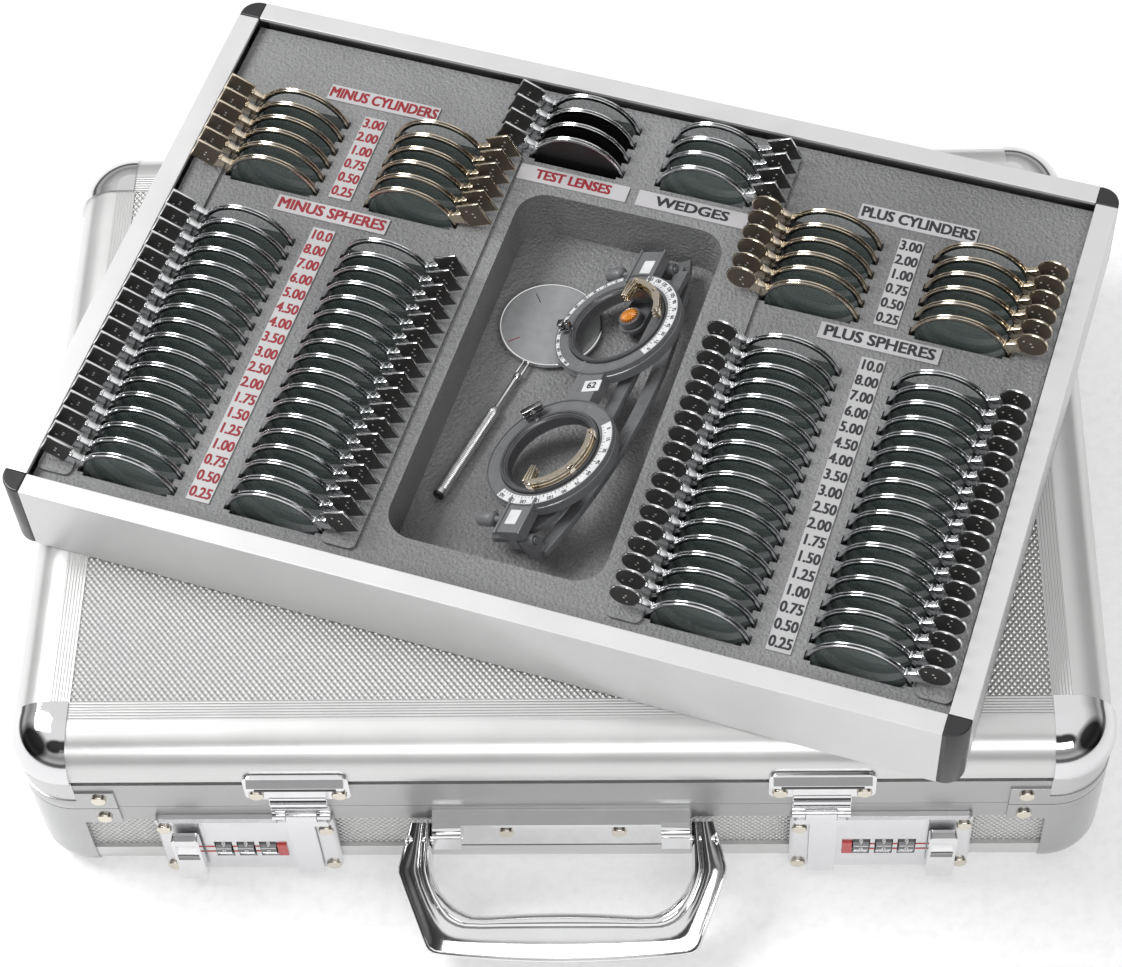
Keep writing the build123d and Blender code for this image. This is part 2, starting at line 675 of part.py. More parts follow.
def hinge_leaves(owner, low, high):
    """Leaves on the wall and their knuckles; owner 0 is the base and 1 the lid."""
    reach = low if owner else high
    with BuildPart() as leaves:
        for side in SIDES:
            with BuildSketch(Plane.XZ.offset(-BODY_D / 2)):
                with Locations((side * HINGE_X, (low + high) / 2)):
                    Rectangle(HINGE_W, high - low)
            extrude(amount=-1.2)
            for number, (start, length) in enumerate(knuckle_spans(side * HINGE_X)):
                with BuildSketch(side_plane(start)):
                    with Locations((HINGE_Y, SEAM_Z)):
                        Circle(HINGE_R)
                    if number % 2 == owner:
                        with Locations((HINGE_Y - HINGE_R + 0.6, (low + high) / 2)):
                            Rectangle(1.2, high - low)
                        with Locations((HINGE_Y - HINGE_R + 0.6, (reach + SEAM_Z) / 2)):
                            Rectangle(1.2, 2.8)
                        with Locations((HINGE_Y, SEAM_Z)):
                            Circle(HINGE_PIN_R + 0.05, mode=Mode.SUBTRACT)
                extrude(
                    amount=length, mode=Mode.ADD if number % 2 == owner else Mode.SUBTRACT
                )
    return leaves


hinge_base_leaves = hinge_leaves(0, 30.0, SEAM_Z - 2.8)
save(hinge_base_leaves, "hinge_base_leaves")
hinge_lid_leaves = hinge_leaves(1, SEAM_Z + 2.8, 61.0)
save(hinge_lid_leaves, "hinge_lid_leaves")

with BuildPart() as hinge_pins:
    for side in SIDES:
        with BuildSketch(side_plane(side * HINGE_X - HINGE_W / 2)):
            with Locations((HINGE_Y, SEAM_Z)):
                Circle(HINGE_PIN_R)
        extrude(amount=HINGE_W)
save(hinge_pins, "hinge_pins")

# --------------------------------------------------------------------- tray
RAIL_LENGTHS = (TRAY_W - 2 * CORNER_POST, TRAY_D - 2 * CORNER_POST)

with BuildPart() as tray_rails:
    with BuildSketch(level(TRAY, 0)):
        Rectangle(TRAY_W, TRAY_D)
        Rectangle(TRAY_W - 2 * RAIL_W, TRAY_D - 2 * RAIL_W, mode=Mode.SUBTRACT)
    extrude(amount=TRAY_H)
    with BuildSketch(level(TRAY, RAIL_T)):
        Rectangle(TRAY_W - 2 * RAIL_T, TRAY_D - 2 * RAIL_T)
        Rectangle(TRAY_W - 2 * RAIL_W, TRAY_D - 2 * RAIL_W, mode=Mode.SUBTRACT)
    extrude(amount=TRAY_H - 2 * RAIL_T, mode=Mode.SUBTRACT)
    with BuildSketch(level(TRAY, -1)):
        for sx in SIDES:
            for sy in SIDES:
                with Locations((sx * (TRAY_W / 2), sy * (TRAY_D / 2))):
                    Rectangle(2 * CORNER_POST, 2 * CORNER_POST)
    extrude(amount=TRAY_H + 2, mode=Mode.SUBTRACT)
save(tray_rails, "tray_rails")

with BuildPart() as tray_corners:
    with BuildSketch(level(TRAY, 0)):
        RectangleRounded(TRAY_W, TRAY_D, 7.0)
        Rectangle(2 * TRAY_W, TRAY_D - 2 * CORNER_POST, mode=Mode.SUBTRACT)
        Rectangle(TRAY_W - 2 * CORNER_POST, 2 * TRAY_D, mode=Mode.SUBTRACT)
    extrude(amount=TRAY_H + 0.2)
save(tray_corners, "tray_corners")

with BuildPart() as tray_base_board:
    with BuildSketch(level(TRAY, BOARD_Z[0])):
        Rectangle(TRAY_W - 2 * RAIL_W + 8, TRAY_D - 2 * RAIL_W + 8)
        for sx in SIDES:
            for sy in SIDES:
                with Locations((sx * TRAY_W / 2, sy * TRAY_D / 2)):
                    Rectangle(2 * CORNER_POST, 2 * CORNER_POST, mode=Mode.SUBTRACT)
    extrude(amount=BOARD_Z[1] - BOARD_Z[0])
save(tray_base_board, "tray_base_board")

# Ledges carry the lens handles: (centre x, width), the same front and rear ends.
LEDGE_X = (-160.0, -52.0, 52.0, 160.0)
LEDGE_W = 12.6
LEDGE_Y = (-106.5, 78.0)


def trough(rows, columns):
    """The space of a half-round channel with one wider slot for every lens."""
    start = rows[0] - SLOT_W / 2 - 1.2
    end = rows[-1] + SLOT_W / 2 + 1.2
    with BuildPart() as space:
        with BuildSketch(upright(TRAY, end)):
            with Locations([(x, LENS_Z) for x in columns]):
                Circle(TROUGH_R)
        extrude(amount=end - start)
        for y in rows:
            with BuildSketch(upright(TRAY, y + SLOT_W / 2)):
                with Locations([(x, LENS_Z) for x in columns]):
                    Circle(SLOT_R)
            extrude(amount=SLOT_W)
    return space.part


PAIRED = (-OUTER_COLUMN, -INNER_COLUMN, INNER_COLUMN, OUTER_COLUMN)
TEST_PAIR = (-TEST_COLUMN, TEST_COLUMN)
TROUGHS = [
    trough(SPHERE_ROWS, PAIRED),
    trough(CYLINDER_ROWS, PAIRED),
    trough(TEST_ROWS, TEST_PAIR),
]

with BuildPart() as tray_insert:
    with BuildSketch(level(TRAY, BOARD_Z[1])):
        Rectangle(TRAY_W - 2 * RAIL_W - 0.4, TRAY_D - 2 * RAIL_W - 0.4)
        for sx in SIDES:
            for sy in SIDES:
                with Locations((sx * TRAY_W / 2, sy * TRAY_D / 2)):
                    Rectangle(2 * CORNER_POST + 0.2, 2 * CORNER_POST + 0.2, mode=Mode.SUBTRACT)
    extrude(amount=INSERT_TOP - BOARD_Z[1])
    with BuildSketch(level(TRAY, INSERT_TOP)):
        for x in LEDGE_X:
            with Locations((x, (LEDGE_Y[0] + LEDGE_Y[1]) / 2)):
                RectangleRounded(LEDGE_W, LEDGE_Y[1] - LEDGE_Y[0], 2.5)
        for side in SIDES:
            with Locations((side * 51.5, (TEST_ROWS[0] + TEST_ROWS[-1]) / 2)):
                RectangleRounded(9.0, 31.0, 2.5)
    extrude(amount=LEDGE_H)
    with BuildSketch(level(TRAY, WELL_FLOOR)):
        with Locations((0, (WELL_Y[0] + WELL_Y[1]) / 2)):
            RectangleRounded(WELL_W, WELL_Y[1] - WELL_Y[0], WELL_R)
    extrude(amount=TRAY_H, mode=Mode.SUBTRACT)
    for space in TROUGHS:
        add(space, mode=Mode.SUBTRACT)
save(tray_insert, "tray_insert")

with BuildPart() as title_plates:
    with BuildSketch(level(TRAY, INSERT_TOP)):
        with Locations(
            [(side * BLOCK_X, y) for side in SIDES for y in (30.9, 87.8)]
        ):
            Rectangle(*TITLE)
        with Locations([(side * 23.4, 70.9) for side in SIDES]):
            Rectangle(43.0, TITLE[1])
    extrude(amount=TITLE_T)
save(title_plates, "title_plates")

with BuildPart() as scale_strips:
    with BuildSketch(level(TRAY, INSERT_TOP)):
        for side in SIDES:
            with Locations((side * BLOCK_X, -39.8)):
                Rectangle(STRIP_W, 126.5)
            with Locations((side * BLOCK_X, 59.2)):
                Rectangle(STRIP_W, 41.0)
    extrude(amount=TITLE_T)
save(scale_strips, "scale_strips")


# ------------------------------------------------------------------- lenses
def lens_rims(rows, columns, round_tabs):
    """Metal rings with a sleeve and a handle tab; columns are (x, side the tab is on)."""
    with BuildPart() as rims:
        for y in rows:
            for x, toward in columns:
                angle = TAB_ANGLE if toward > 0 else 180 - TAB_ANGLE
                along = Location((x, LENS_Z, 0), (0, 0, angle))
                with BuildSketch(upright(TRAY, y + LENS_T / 2)):
                    with Locations((x, LENS_Z)):
                        Circle(LENS_R)
                        Circle(APERTURE_R, mode=Mode.SUBTRACT)
                extrude(amount=LENS_T)
                with BuildSketch(upright(TRAY, y + SLEEVE_T / 2)):
                    with Locations(along * Location(((SLEEVE[0] + SLEEVE[1]) / 2, 0, 0))):
                        Rectangle(SLEEVE[1] - SLEEVE[0], SLEEVE_W)
                extrude(amount=SLEEVE_T)
                with BuildSketch(upright(TRAY, y + TAB_T / 2)):
                    if round_tabs:
                        with Locations(along * Location((ROUND_TAB_AT, 0, 0))):
                            Circle(ROUND_TAB_R)
                    else:
                        with Locations(along * Location(((SLEEVE[1] + TAB_END) / 2, 0, 0))):
                            Rectangle(TAB_END - SLEEVE[1] + 0.6, TAB_W)
                extrude(amount=TAB_T)
    return rims


def lens_discs(rows, columns):
    """The glass or opaque discs held in the rims."""
    with BuildPart() as discs:
        for y in rows:
            with BuildSketch(upright(TRAY, y + GLASS_T / 2)):
                with Locations([(x, LENS_Z) for x, _ in columns]):
                    Circle(APERTURE_R)
            extrude(amount=GLASS_T)
    return discs


LEFT_BLOCK = ((-OUTER_COLUMN, -1), (-INNER_COLUMN, 1))
RIGHT_BLOCK = ((INNER_COLUMN, -1), (OUTER_COLUMN, 1))
LENS_SETS = (
    ("minus_cylinder", CYLINDER_ROWS, LEFT_BLOCK, False),
    ("minus_sphere", SPHERE_ROWS, LEFT_BLOCK, False),
    ("plus_cylinder", CYLINDER_ROWS, RIGHT_BLOCK, True),
    ("plus_sphere", SPHERE_ROWS, RIGHT_BLOCK, True),
    ("prism", TEST_ROWS, ((TEST_COLUMN, 1),), False),
)

for name, rows, columns, round_tabs in LENS_SETS:
    rims = lens_rims(rows, columns, round_tabs)
    save(rims, f"{name}_rims")
    glass = lens_discs(rows, columns)
    save(glass, f"{name}_glass")

TEST_LENSES = ((-TEST_COLUMN, -1),)
test_lens_rims = lens_rims(TEST_ROWS, TEST_LENSES, False)
save(test_lens_rims, "test_lens_rims")
test_lens_occluders = lens_discs(TEST_ROWS[:3], TEST_LENSES)
save(test_lens_occluders, "test_lens_occluders")
test_lens_glass = lens_discs(TEST_ROWS[3:], TEST_LENSES)
save(test_lens_glass, "test_lens_glass")

# -------------------------------------------------------------- trial frame
EYES = (-PD / 2, PD / 2)

with BuildPart() as frame_body:
    with BuildSketch(level(SPECTACLE, -HOUSING_T - BACK_T)):
        with Locations([(x, 0) for x in EYES]):
            Circle(HOUSING_R)
        Rectangle(PD - 30, 11.0)
    extrude(amount=HOUSING_T + BACK_T)
    with BuildSketch(level(SPECTACLE, -HOUSING_T)):
        for side in SIDES:
            with Locations((side * (LUG_X - 5.0), 0.5)):
                RectangleRounded(15.0, 11.0, 1.5)
    extrude(amount=HOUSING_T)
    with BuildSketch(level(SPECTACLE, -HOUSING_T - BACK_T)):
        with Locations([(x, 0) for x in EYES]):
            Circle(CELL_BORE + 1.0)
    extrude(amount=BACK_T, mode=Mode.SUBTRACT)
    with BuildSketch(level(SPECTACLE, -HOUSING_T)):
        with Locations([(x, 0) for x in EYES]):
            Circle(CELL_R + CELL_FIT)
    extrude(amount=HOUSING_T - 0.6, mode=Mode.SUBTRACT)
    with BuildSketch(level(SPECTACLE, -0.6)):
        with Locations([(x, 0) for x in EYES]):
            Circle(NECK_R + 0.3)
    extrude(amount=0.6, mode=Mode.SUBTRACT)
    # Temple hinge pins under the end lugs.
    for side in SIDES:
        with BuildSketch(upright(SPECTACLE, 2.0)):
            with Locations((side * LUG_X, -6.6)):
                Rectangle(5.0, 5.6)
        extrude(amount=3.0)
        with BuildSketch(upright(SPECTACLE, -0.5)):
            with Locations((side * LUG_X, -HINGE_DROP)):
                Circle(1.2)
        extrude(amount=6.9)
    # Arm and pin that carry the setting knob behind the right cell.
    with BuildSketch(level(SPECTACLE, -11.6)):
        with Locations((KNOB_AT[0] + 4.0, KNOB_AT[1])):
            RectangleRounded(18.0, 10.6, 4.0)
    extrude(amount=1.2)
    with BuildSketch(level(SPECTACLE, -11.6)):
        with Locations((53.0, KNOB_AT[1])):
            Rectangle(3.0, 7.0)
    extrude(amount=7.0)
    with BuildSketch(level(SPECTACLE, -11.0)):
        with Locations(KNOB_AT):
            Circle(1.2)
    extrude(amount=3.6)
save(frame_body, "frame_body")

with BuildPart() as frame_scales:
    for side, x in zip(SIDES, EYES):
        with BuildSketch(level(SPECTACLE, 0)):
            with Locations((x, 0)):
                Circle(HOUSING_R - 0.6)
                Circle(CELL_R + 0.3, mode=Mode.SUBTRACT)
            with Locations((x, 15.0)):
                Rectangle(60, 30, mode=Mode.SUBTRACT)
        extrude(amount=0.4)
    with BuildSketch(level(SPECTACLE, 0)):
        Rectangle(6.4, 8.0)
    extrude(amount=0.4)
save(frame_scales, "frame_scales")

for side, x in zip(SIDES, EYES):
    with BuildPart() as cell:
        with BuildSketch(level(SPECTACLE, -HOUSING_T + 0.2)):
            with Locations((x, 0)):
                Circle(CELL_R)
                Circle(CELL_BORE, mode=Mode.SUBTRACT)
        extrude(amount=HOUSING_T - 1.0)
        with BuildSketch(level(SPECTACLE, -1.0)):
            with Locations((x, 0)):
                Circle(NECK_R)
                Circle(CELL_BORE, mode=Mode.SUBTRACT)
        extrude(amount=2.0)
        for turn in (-150, -90, -30):
            with BuildSketch(level(SPECTACLE, 0.5)):
                with Locations(Location((x, 0, 0), (0, 0, turn)) * Location((18.2, 0, 0))):
                    Rectangle(1.4, 5.0)
            extrude(amount=5.0)
    save(cell, f"{SIDE_NAMES[side]}_lens_cell")

# Each temple's height behind the frame, and the line that it leaves its hinge on.
TEMPLES = {-1: (-14.8, -6.0), 1: (-10.2, -9.5)}

for side in SIDES:
    layer, line_y = TEMPLES[side]
    hinge_x = side * LUG_X
    with BuildPart() as temple:
        with BuildSketch(level(SPECTACLE, layer)):
            with BuildLine():
                if side < 0:
                    ThreePointArc((hinge_x, line_y), (8.0, -17.5), (75.0, -4.0))
                else:
                    Line((hinge_x, line_y), (-40.0, line_y))
                    TangentArc((-40.0, line_y), (-62.0, 13.0), tangent=(-1, 0))
            trace(line_width=TEMPLE_W)
            with Locations((hinge_x, (line_y - 1.0) / 2)):
                Rectangle(4.8, -line_y - 1.0)
        extrude(amount=TEMPLE_T)
        with BuildSketch(upright(SPECTACLE, -1.3)):
            with Locations((hinge_x, (layer - HINGE_DROP) / 2)):
                Rectangle(4.8, -layer - HINGE_DROP)
            with Locations((hinge_x, -HINGE_DROP)):
                Circle(2.4)
                Circle(1.4, mode=Mode.SUBTRACT)
        extrude(amount=5.6)
        with BuildSketch(upright(SPECTACLE, 0)):
            with Locations((hinge_x, -HINGE_DROP)):
                Circle(1.4)
        extrude(amount=8.0, mode=Mode.SUBTRACT)
    save(temple, f"{SIDE_NAMES[side]}_temple")

with BuildPart() as frame_knob:
    with BuildSketch(level(SPECTACLE, -10.1)):
        with Locations(KNOB_AT):
            RegularPolygon(4.4, 16)
            Circle(1.4, mode=Mode.SUBTRACT)
    extrude(amount=3.2)
save(frame_knob, "frame_knob")

# ---------------------------------------------------------------- hand lens
with BuildPart() as hand_lens_holder:
    with BuildSketch(level(HAND_LENS, -HAND_T / 2)):
        Circle(HAND_R)
        Circle(HAND_R - 1.0, mode=Mode.SUBTRACT)
    extrude(amount=HAND_T)
    with BuildSketch(Plane(HAND_LENS.location * Location((HAND_R - 0.6, 0, 0), (0, 90, 0)))):
        Circle(1.15)
    extrude(amount=HAND_GRIP[0] - HAND_R + 1.2)
    with BuildSketch(Plane(HAND_LENS.location * Location((HAND_GRIP[0], 0, 0), (0, 90, 0)))):
        Circle(HAND_GRIP_R)
    extrude(amount=HAND_GRIP[1] - HAND_GRIP[0])
save(hand_lens_holder, "hand_lens_holder")

with BuildPart() as hand_lens_disc:
    with BuildSketch(level(HAND_LENS, -HAND_T / 2 + 0.2)):
        Circle(HAND_R - 1.0)
    extrude(amount=HAND_T - 0.4)
save(hand_lens_disc, "hand_lens_disc")
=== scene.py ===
import json
import math

import bmesh
import bpy
from mathutils import Matrix, Vector


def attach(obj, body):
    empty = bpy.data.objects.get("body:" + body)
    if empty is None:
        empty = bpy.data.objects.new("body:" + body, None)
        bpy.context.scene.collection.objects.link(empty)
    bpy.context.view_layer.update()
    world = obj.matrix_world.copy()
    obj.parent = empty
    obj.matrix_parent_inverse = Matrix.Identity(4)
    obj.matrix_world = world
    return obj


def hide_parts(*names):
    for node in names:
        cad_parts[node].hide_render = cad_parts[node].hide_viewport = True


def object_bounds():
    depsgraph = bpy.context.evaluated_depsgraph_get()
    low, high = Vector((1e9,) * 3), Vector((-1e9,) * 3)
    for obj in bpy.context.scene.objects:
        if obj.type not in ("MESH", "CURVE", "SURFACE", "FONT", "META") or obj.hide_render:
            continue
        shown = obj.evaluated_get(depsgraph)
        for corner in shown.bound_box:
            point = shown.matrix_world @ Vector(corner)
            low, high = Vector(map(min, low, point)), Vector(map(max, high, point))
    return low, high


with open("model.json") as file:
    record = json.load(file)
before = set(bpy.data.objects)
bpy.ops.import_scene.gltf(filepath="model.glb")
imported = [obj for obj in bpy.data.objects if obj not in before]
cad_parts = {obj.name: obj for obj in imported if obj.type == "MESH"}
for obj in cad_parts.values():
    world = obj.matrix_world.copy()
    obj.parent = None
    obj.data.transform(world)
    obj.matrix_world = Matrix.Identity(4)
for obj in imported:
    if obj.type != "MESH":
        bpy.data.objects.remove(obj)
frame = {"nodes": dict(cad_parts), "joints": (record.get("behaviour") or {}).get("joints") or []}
cad_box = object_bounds()
NODES = frame["nodes"]
JOINTS = {j["name"]: j for j in frame["joints"]}
MM = 0.001
SIDES = (-1, 1)
SIDE_NAMES = {-1: "left", 1: "right"}

# ------------------------------------------------------------------- frames
TRAY_YAW = math.radians(-17.24)
TRAY_ORIGIN = Vector((5.0, 17.1, 82.0))
TRAY_H = 33.4
INSERT_TOP = TRAY_H - 5.0
TRAY = Matrix.Translation(TRAY_ORIGIN) @ Matrix.Rotation(TRAY_YAW, 4, "Z")


def joint_point(name):
    return Vector(JOINTS[name]["pos_m"]) / MM


def axes_matrix(origin, x, z):
    """A frame in millimetres from its origin, X direction and Z direction."""
    z = z.normalized()
    x = (x - z * x.dot(z)).normalized()
    y = z.cross(x)
    m = Matrix((x, y, z)).transposed().to_4x4()
    m.translation = origin
    return m


LEFT_EYE = joint_point("left_cell_turn")
RIGHT_EYE = joint_point("right_cell_turn")
SPECS = axes_matrix(
    (LEFT_EYE + RIGHT_EYE) / 2, RIGHT_EYE - LEFT_EYE, Vector(JOINTS["left_cell_turn"]["axis"])
)
HAND = (
    TRAY
    @ Matrix.Translation((-16.5, 20.0, TRAY_H - 26.4))
    @ Matrix.Rotation(math.radians(-99.6), 4, "Z")
    @ Matrix.Rotation(math.radians(-1.5), 4, "Y")
)
WORLD = Matrix.Identity(4)

LENS_R = 19.0
LENS_Z = TRAY_H - 9.5
OUTER_COLUMN = 133.5
INNER_COLUMN = 77.3
TEST_COLUMN = 24.9
SPHERE_ROWS = [-101.2 + 6.812 * n for n in range(18)]
CYLINDER_ROWS = [39.7 + 6.82 * n for n in range(6)]
TEST_ROWS = [80.1 + 7.27 * n for n in range(4)]
BLOCK_X = 105.9


# ---------------------------------------------------------------- materials
class Nodes:
    """Small helper for building a material's node tree."""

    def __init__(self, name):
        self.mat = bpy.data.materials.new(name)
        self.mat.use_nodes = True
        self.tree = self.mat.node_tree
        self.bsdf = self.tree.nodes["Principled BSDF"]

    def add(self, kind, **values):
        node = self.tree.nodes.new(kind)
        for key, value in values.items():
            setattr(node, key, value)
        return node

    def link(self, a, b):
        self.tree.links.new(a, b)

    def feed(self, value, socket):
        if isinstance(value, bpy.types.NodeSocket):
            self.link(value, socket)
        else:
            socket.default_value = value

    def math(self, op, a, b=None):
        node = self.add("ShaderNodeMath", operation=op)
        self.feed(a, node.inputs[0])
        if b is not None:
            self.feed(b, node.inputs[1])
        return node.outputs[0]

    def coords(self):
        return self.add("ShaderNodeTexCoord").outputs["Object"]

    def split(self, vector):
        node = self.add("ShaderNodeSeparateXYZ")
        self.link(vector, node.inputs[0])
        return node.outputs

    def noise(self, scale, detail, rough):
        node = self.add("ShaderNodeTexNoise")
        node.inputs["Scale"].default_value = scale
        node.inputs["Detail"].default_value = detail
        node.inputs["Roughness"].default_value = rough
        self.link(self.coords(), node.inputs["Vector"])
        return node.outputs["Fac"]

    def ramp(self, value, low, high, start=0.0, end=1.0):
        """Map a value from low..high to start..end."""
        node = self.add("ShaderNodeMapRange")
        self.link(value, node.inputs[0])
        node.inputs[1].default_value = low
        node.inputs[2].default_value = high
        self.feed(start, node.inputs[3])
        self.feed(end, node.inputs[4])
        return node.outputs[0]

    def blend(self, fac, a, b):
        node = self.add("ShaderNodeMix", data_type="RGBA")
        self.feed(fac, node.inputs[0])
        self.feed(a, node.inputs[6])
        self.feed(b, node.inputs[7])
        return node.outputs[2]

    def bump(self, height, strength, distance):
        node = self.add("ShaderNodeBump")
        node.inputs["Strength"].default_value = strength
        node.inputs["Distance"].default_value = distance
        self.link(height, node.inputs["Height"])
        if self.bsdf.inputs["Normal"].is_linked:
            self.link(self.bsdf.inputs["Normal"].links[0].from_socket, node.inputs["Normal"])
        self.link(node.outputs[0], self.bsdf.inputs["Normal"])

    def set(self, **values):
        names = {
            "color": "Base Color", "metal": "Metallic", "rough": "Roughness",
            "coat": "Coat Weight", "alpha": "Alpha",
        }
        for key, value in values.items():
            self.feed(value, self.bsdf.inputs[names[key]])


def rgb(r, g, b):
    return (r, g, b, 1.0)


def tinted(n, cloud, color, depth):
    """A colour that a noise darkens by a share of itself."""
    return n.blend(n.ramp(cloud, 0.3, 0.7), rgb(*[c * (1 - depth) for c in color]), rgb(*color))


def metal(name, color, rough, wear, scale, grain=0.0, metallic=1.0):
    """Metal with a slightly uneven gloss, a faint tone change and fine grain."""
    n = Nodes(name)
    cloud = n.noise(scale, 4.0, 0.6)
    n.set(
        color=tinted(n, cloud, color, 0.06),
        metal=metallic,
        rough=n.ramp(cloud, 0.25, 0.75, max(rough - wear, 0.02), rough + wear),
    )
    if grain:
        n.bump(n.noise(900, 2.0, 0.6), grain, 0.0001)
    return n.mat


def wall_plane(n):
    """Two coordinates in the plane of whichever face is shaded, top, front or side."""
    x, y, z = n.split(n.coords())
    normal = n.split(n.add("ShaderNodeNewGeometry").outputs["True Normal"])
    on_side = n.math("GREATER_THAN", n.math("ABSOLUTE", normal[0]), 0.7)
    on_top = n.math("GREATER_THAN", n.math("ABSOLUTE", normal[2]), 0.6)

    def pick(usual, other, where):
        kept = n.math("MULTIPLY", usual, n.math("SUBTRACT", 1.0, where))
        return n.math("ADD", kept, n.math("MULTIPLY", other, where))

    return pick(x, y, on_side), pick(z, y, on_top)


EMBOSS_PITCH = 0.0022      # metres between the rows of raised diamonds
EMBOSS_SLANT = 0.8
GROOVE_PITCH = 0.0011      # metres between the grooves on the lid's lip
BALL_SEAM = 0.0665         # height of the line between a lid corner's ball and its skirt


def panel_material():
    """Embossed aluminium sheet: small raised diamonds in slanting rows."""
    n = Nodes("textured panel")
    u, v = wall_plane(n)
    rise = n.math("MULTIPLY", v, EMBOSS_SLANT)
    turn = 2 * math.pi / EMBOSS_PITCH
    a = n.math("SINE", n.math("MULTIPLY", n.math("ADD", u, rise), turn))
    b = n.math("SINE", n.math("MULTIPLY", n.math("SUBTRACT", u, rise), turn))
    diamonds = n.math("MULTIPLY", n.math("ADD", a, b), 0.5)
    cloud = n.noise(14, 3.0, 0.6)
    n.set(
        # Colour follows the emboss height: painted shade in the hollows, painted highlight on the raised
        # diamonds.
        color=n.blend(n.ramp(diamonds, -1, 1), rgb(0.46, 0.46, 0.455), rgb(0.93, 0.93, 0.92)),
        metal=0.6,
        rough=n.ramp(cloud, 0.3, 0.7, 0.36, 0.44),
    )
    n.bump(diamonds, 0.9, 0.0005)
    return n.mat


def rail_material(name, color, rough, lip=None, metallic=0.75):
    """Drawn aluminium. A lip (half width, half depth, reach) has grooves along it."""
    n = Nodes(name)
    x, y = n.split(n.coords())[:2]
    cloud = n.noise(40, 4.0, 0.6)
    n.set(
        color=tinted(n, cloud, color, 0.05),
        metal=metallic,
        rough=n.ramp(cloud, 0.25, 0.75, rough - 0.02, rough + 0.03),
    )
    if lip:
        across = n.math(
            "MAXIMUM",
            n.math("SUBTRACT", n.math("ABSOLUTE", x), lip[0]),
            n.math("SUBTRACT", n.math("ABSOLUTE", y), lip[1]),
        )
        inside = n.math("LESS_THAN", across, lip[2])
        lines = n.math("SINE", n.math("MULTIPLY", across, 2 * math.pi / GROOVE_PITCH))
        n.bump(n.math("MULTIPLY", lines, inside), 0.5, 0.0002)
    return n.mat


def grain_material(name, dark, light, rough, scale, depth):
    """Moulded or flocked plastic with a leather-like grain."""
    n = Nodes(name)
    cells = n.add("ShaderNodeTexVoronoi", feature="SMOOTH_F1")
    cells.inputs["Scale"].default_value = scale
    n.link(n.coords(), cells.inputs["Vector"])
    fine = n.noise(scale * 2.2, 4.0, 0.65)
    broad = n.noise(9, 3.0, 0.5)
    height = n.math("ADD", cells.outputs["Distance"], n.math("MULTIPLY", fine, 0.6))
    tone = n.math("ADD", n.math("MULTIPLY", broad, 0.4), n.math("MULTIPLY", fine, 0.6))
    n.set(
        color=n.blend(n.ramp(tone, 0.38, 0.62), rgb(*dark), rgb(*light)),
        rough=n.ramp(fine, 0.3, 0.7, rough - 0.1, rough + 0.1),
    )
    n.bump(height, 0.8, depth)
    return n.mat


def plain_material(name, color, rough, coat=0.0, grain=0.05):
    """Plastic, enamel or ink, with a little wear in its tone and gloss."""
    n = Nodes(name)
    cloud = n.noise(220, 3.0, 0.6)
    n.set(
        color=tinted(n, cloud, color, 0.15),
        rough=n.ramp(cloud, 0.25, 0.75, max(rough - 0.05, 0.02), rough + 0.05),
        coat=coat,
    )
    if grain:
        n.bump(n.noise(1500, 2.0, 0.5), grain, 0.0001)
    return n.mat


def glass_material(name, color, alpha):
    """Optical glass: see-through, with a clear gloss that grows at a glancing view."""
    n = Nodes(name)
    weight = n.add("ShaderNodeLayerWeight")
    weight.inputs["Blend"].default_value = 0.35
    cloud = n.noise(30, 2.0, 0.5)
    n.set(
        color=tinted(n, cloud, color, 0.1),
        rough=0.03,
        alpha=n.ramp(weight.outputs["Facing"], 0.0, 1.0, alpha, min(alpha + 0.12, 1.0)),
        coat=0.5,
    )
    return n.mat


def corner_material():
    """Corner cap: a bright plated ball above a satin skirt."""
    n = Nodes("lid corner")
    z = n.split(n.coords())[2]
    ball = n.math("GREATER_THAN", z, BALL_SEAM)
    cloud = n.noise(50, 3.0, 0.5)
    satin = n.ramp(cloud, 0.3, 0.7, 0.26, 0.36)
    shine = n.ramp(cloud, 0.3, 0.7, 0.03, 0.07)
    rough = n.add("ShaderNodeMix")
    n.link(ball, rough.inputs[0])
    n.link(satin, rough.inputs[2])
    n.link(shine, rough.inputs[3])
    color = n.blend(ball, rgb(0.58, 0.58, 0.585), rgb(0.72, 0.72, 0.73))
    n.set(color=color, metal=1.0, rough=rough.outputs[0])
    edge = n.math("ABSOLUTE", n.math("SUBTRACT", z, BALL_SEAM))
    n.bump(n.ramp(edge, 0.0, 0.0006), 0.6, 0.0004)
    return n.mat


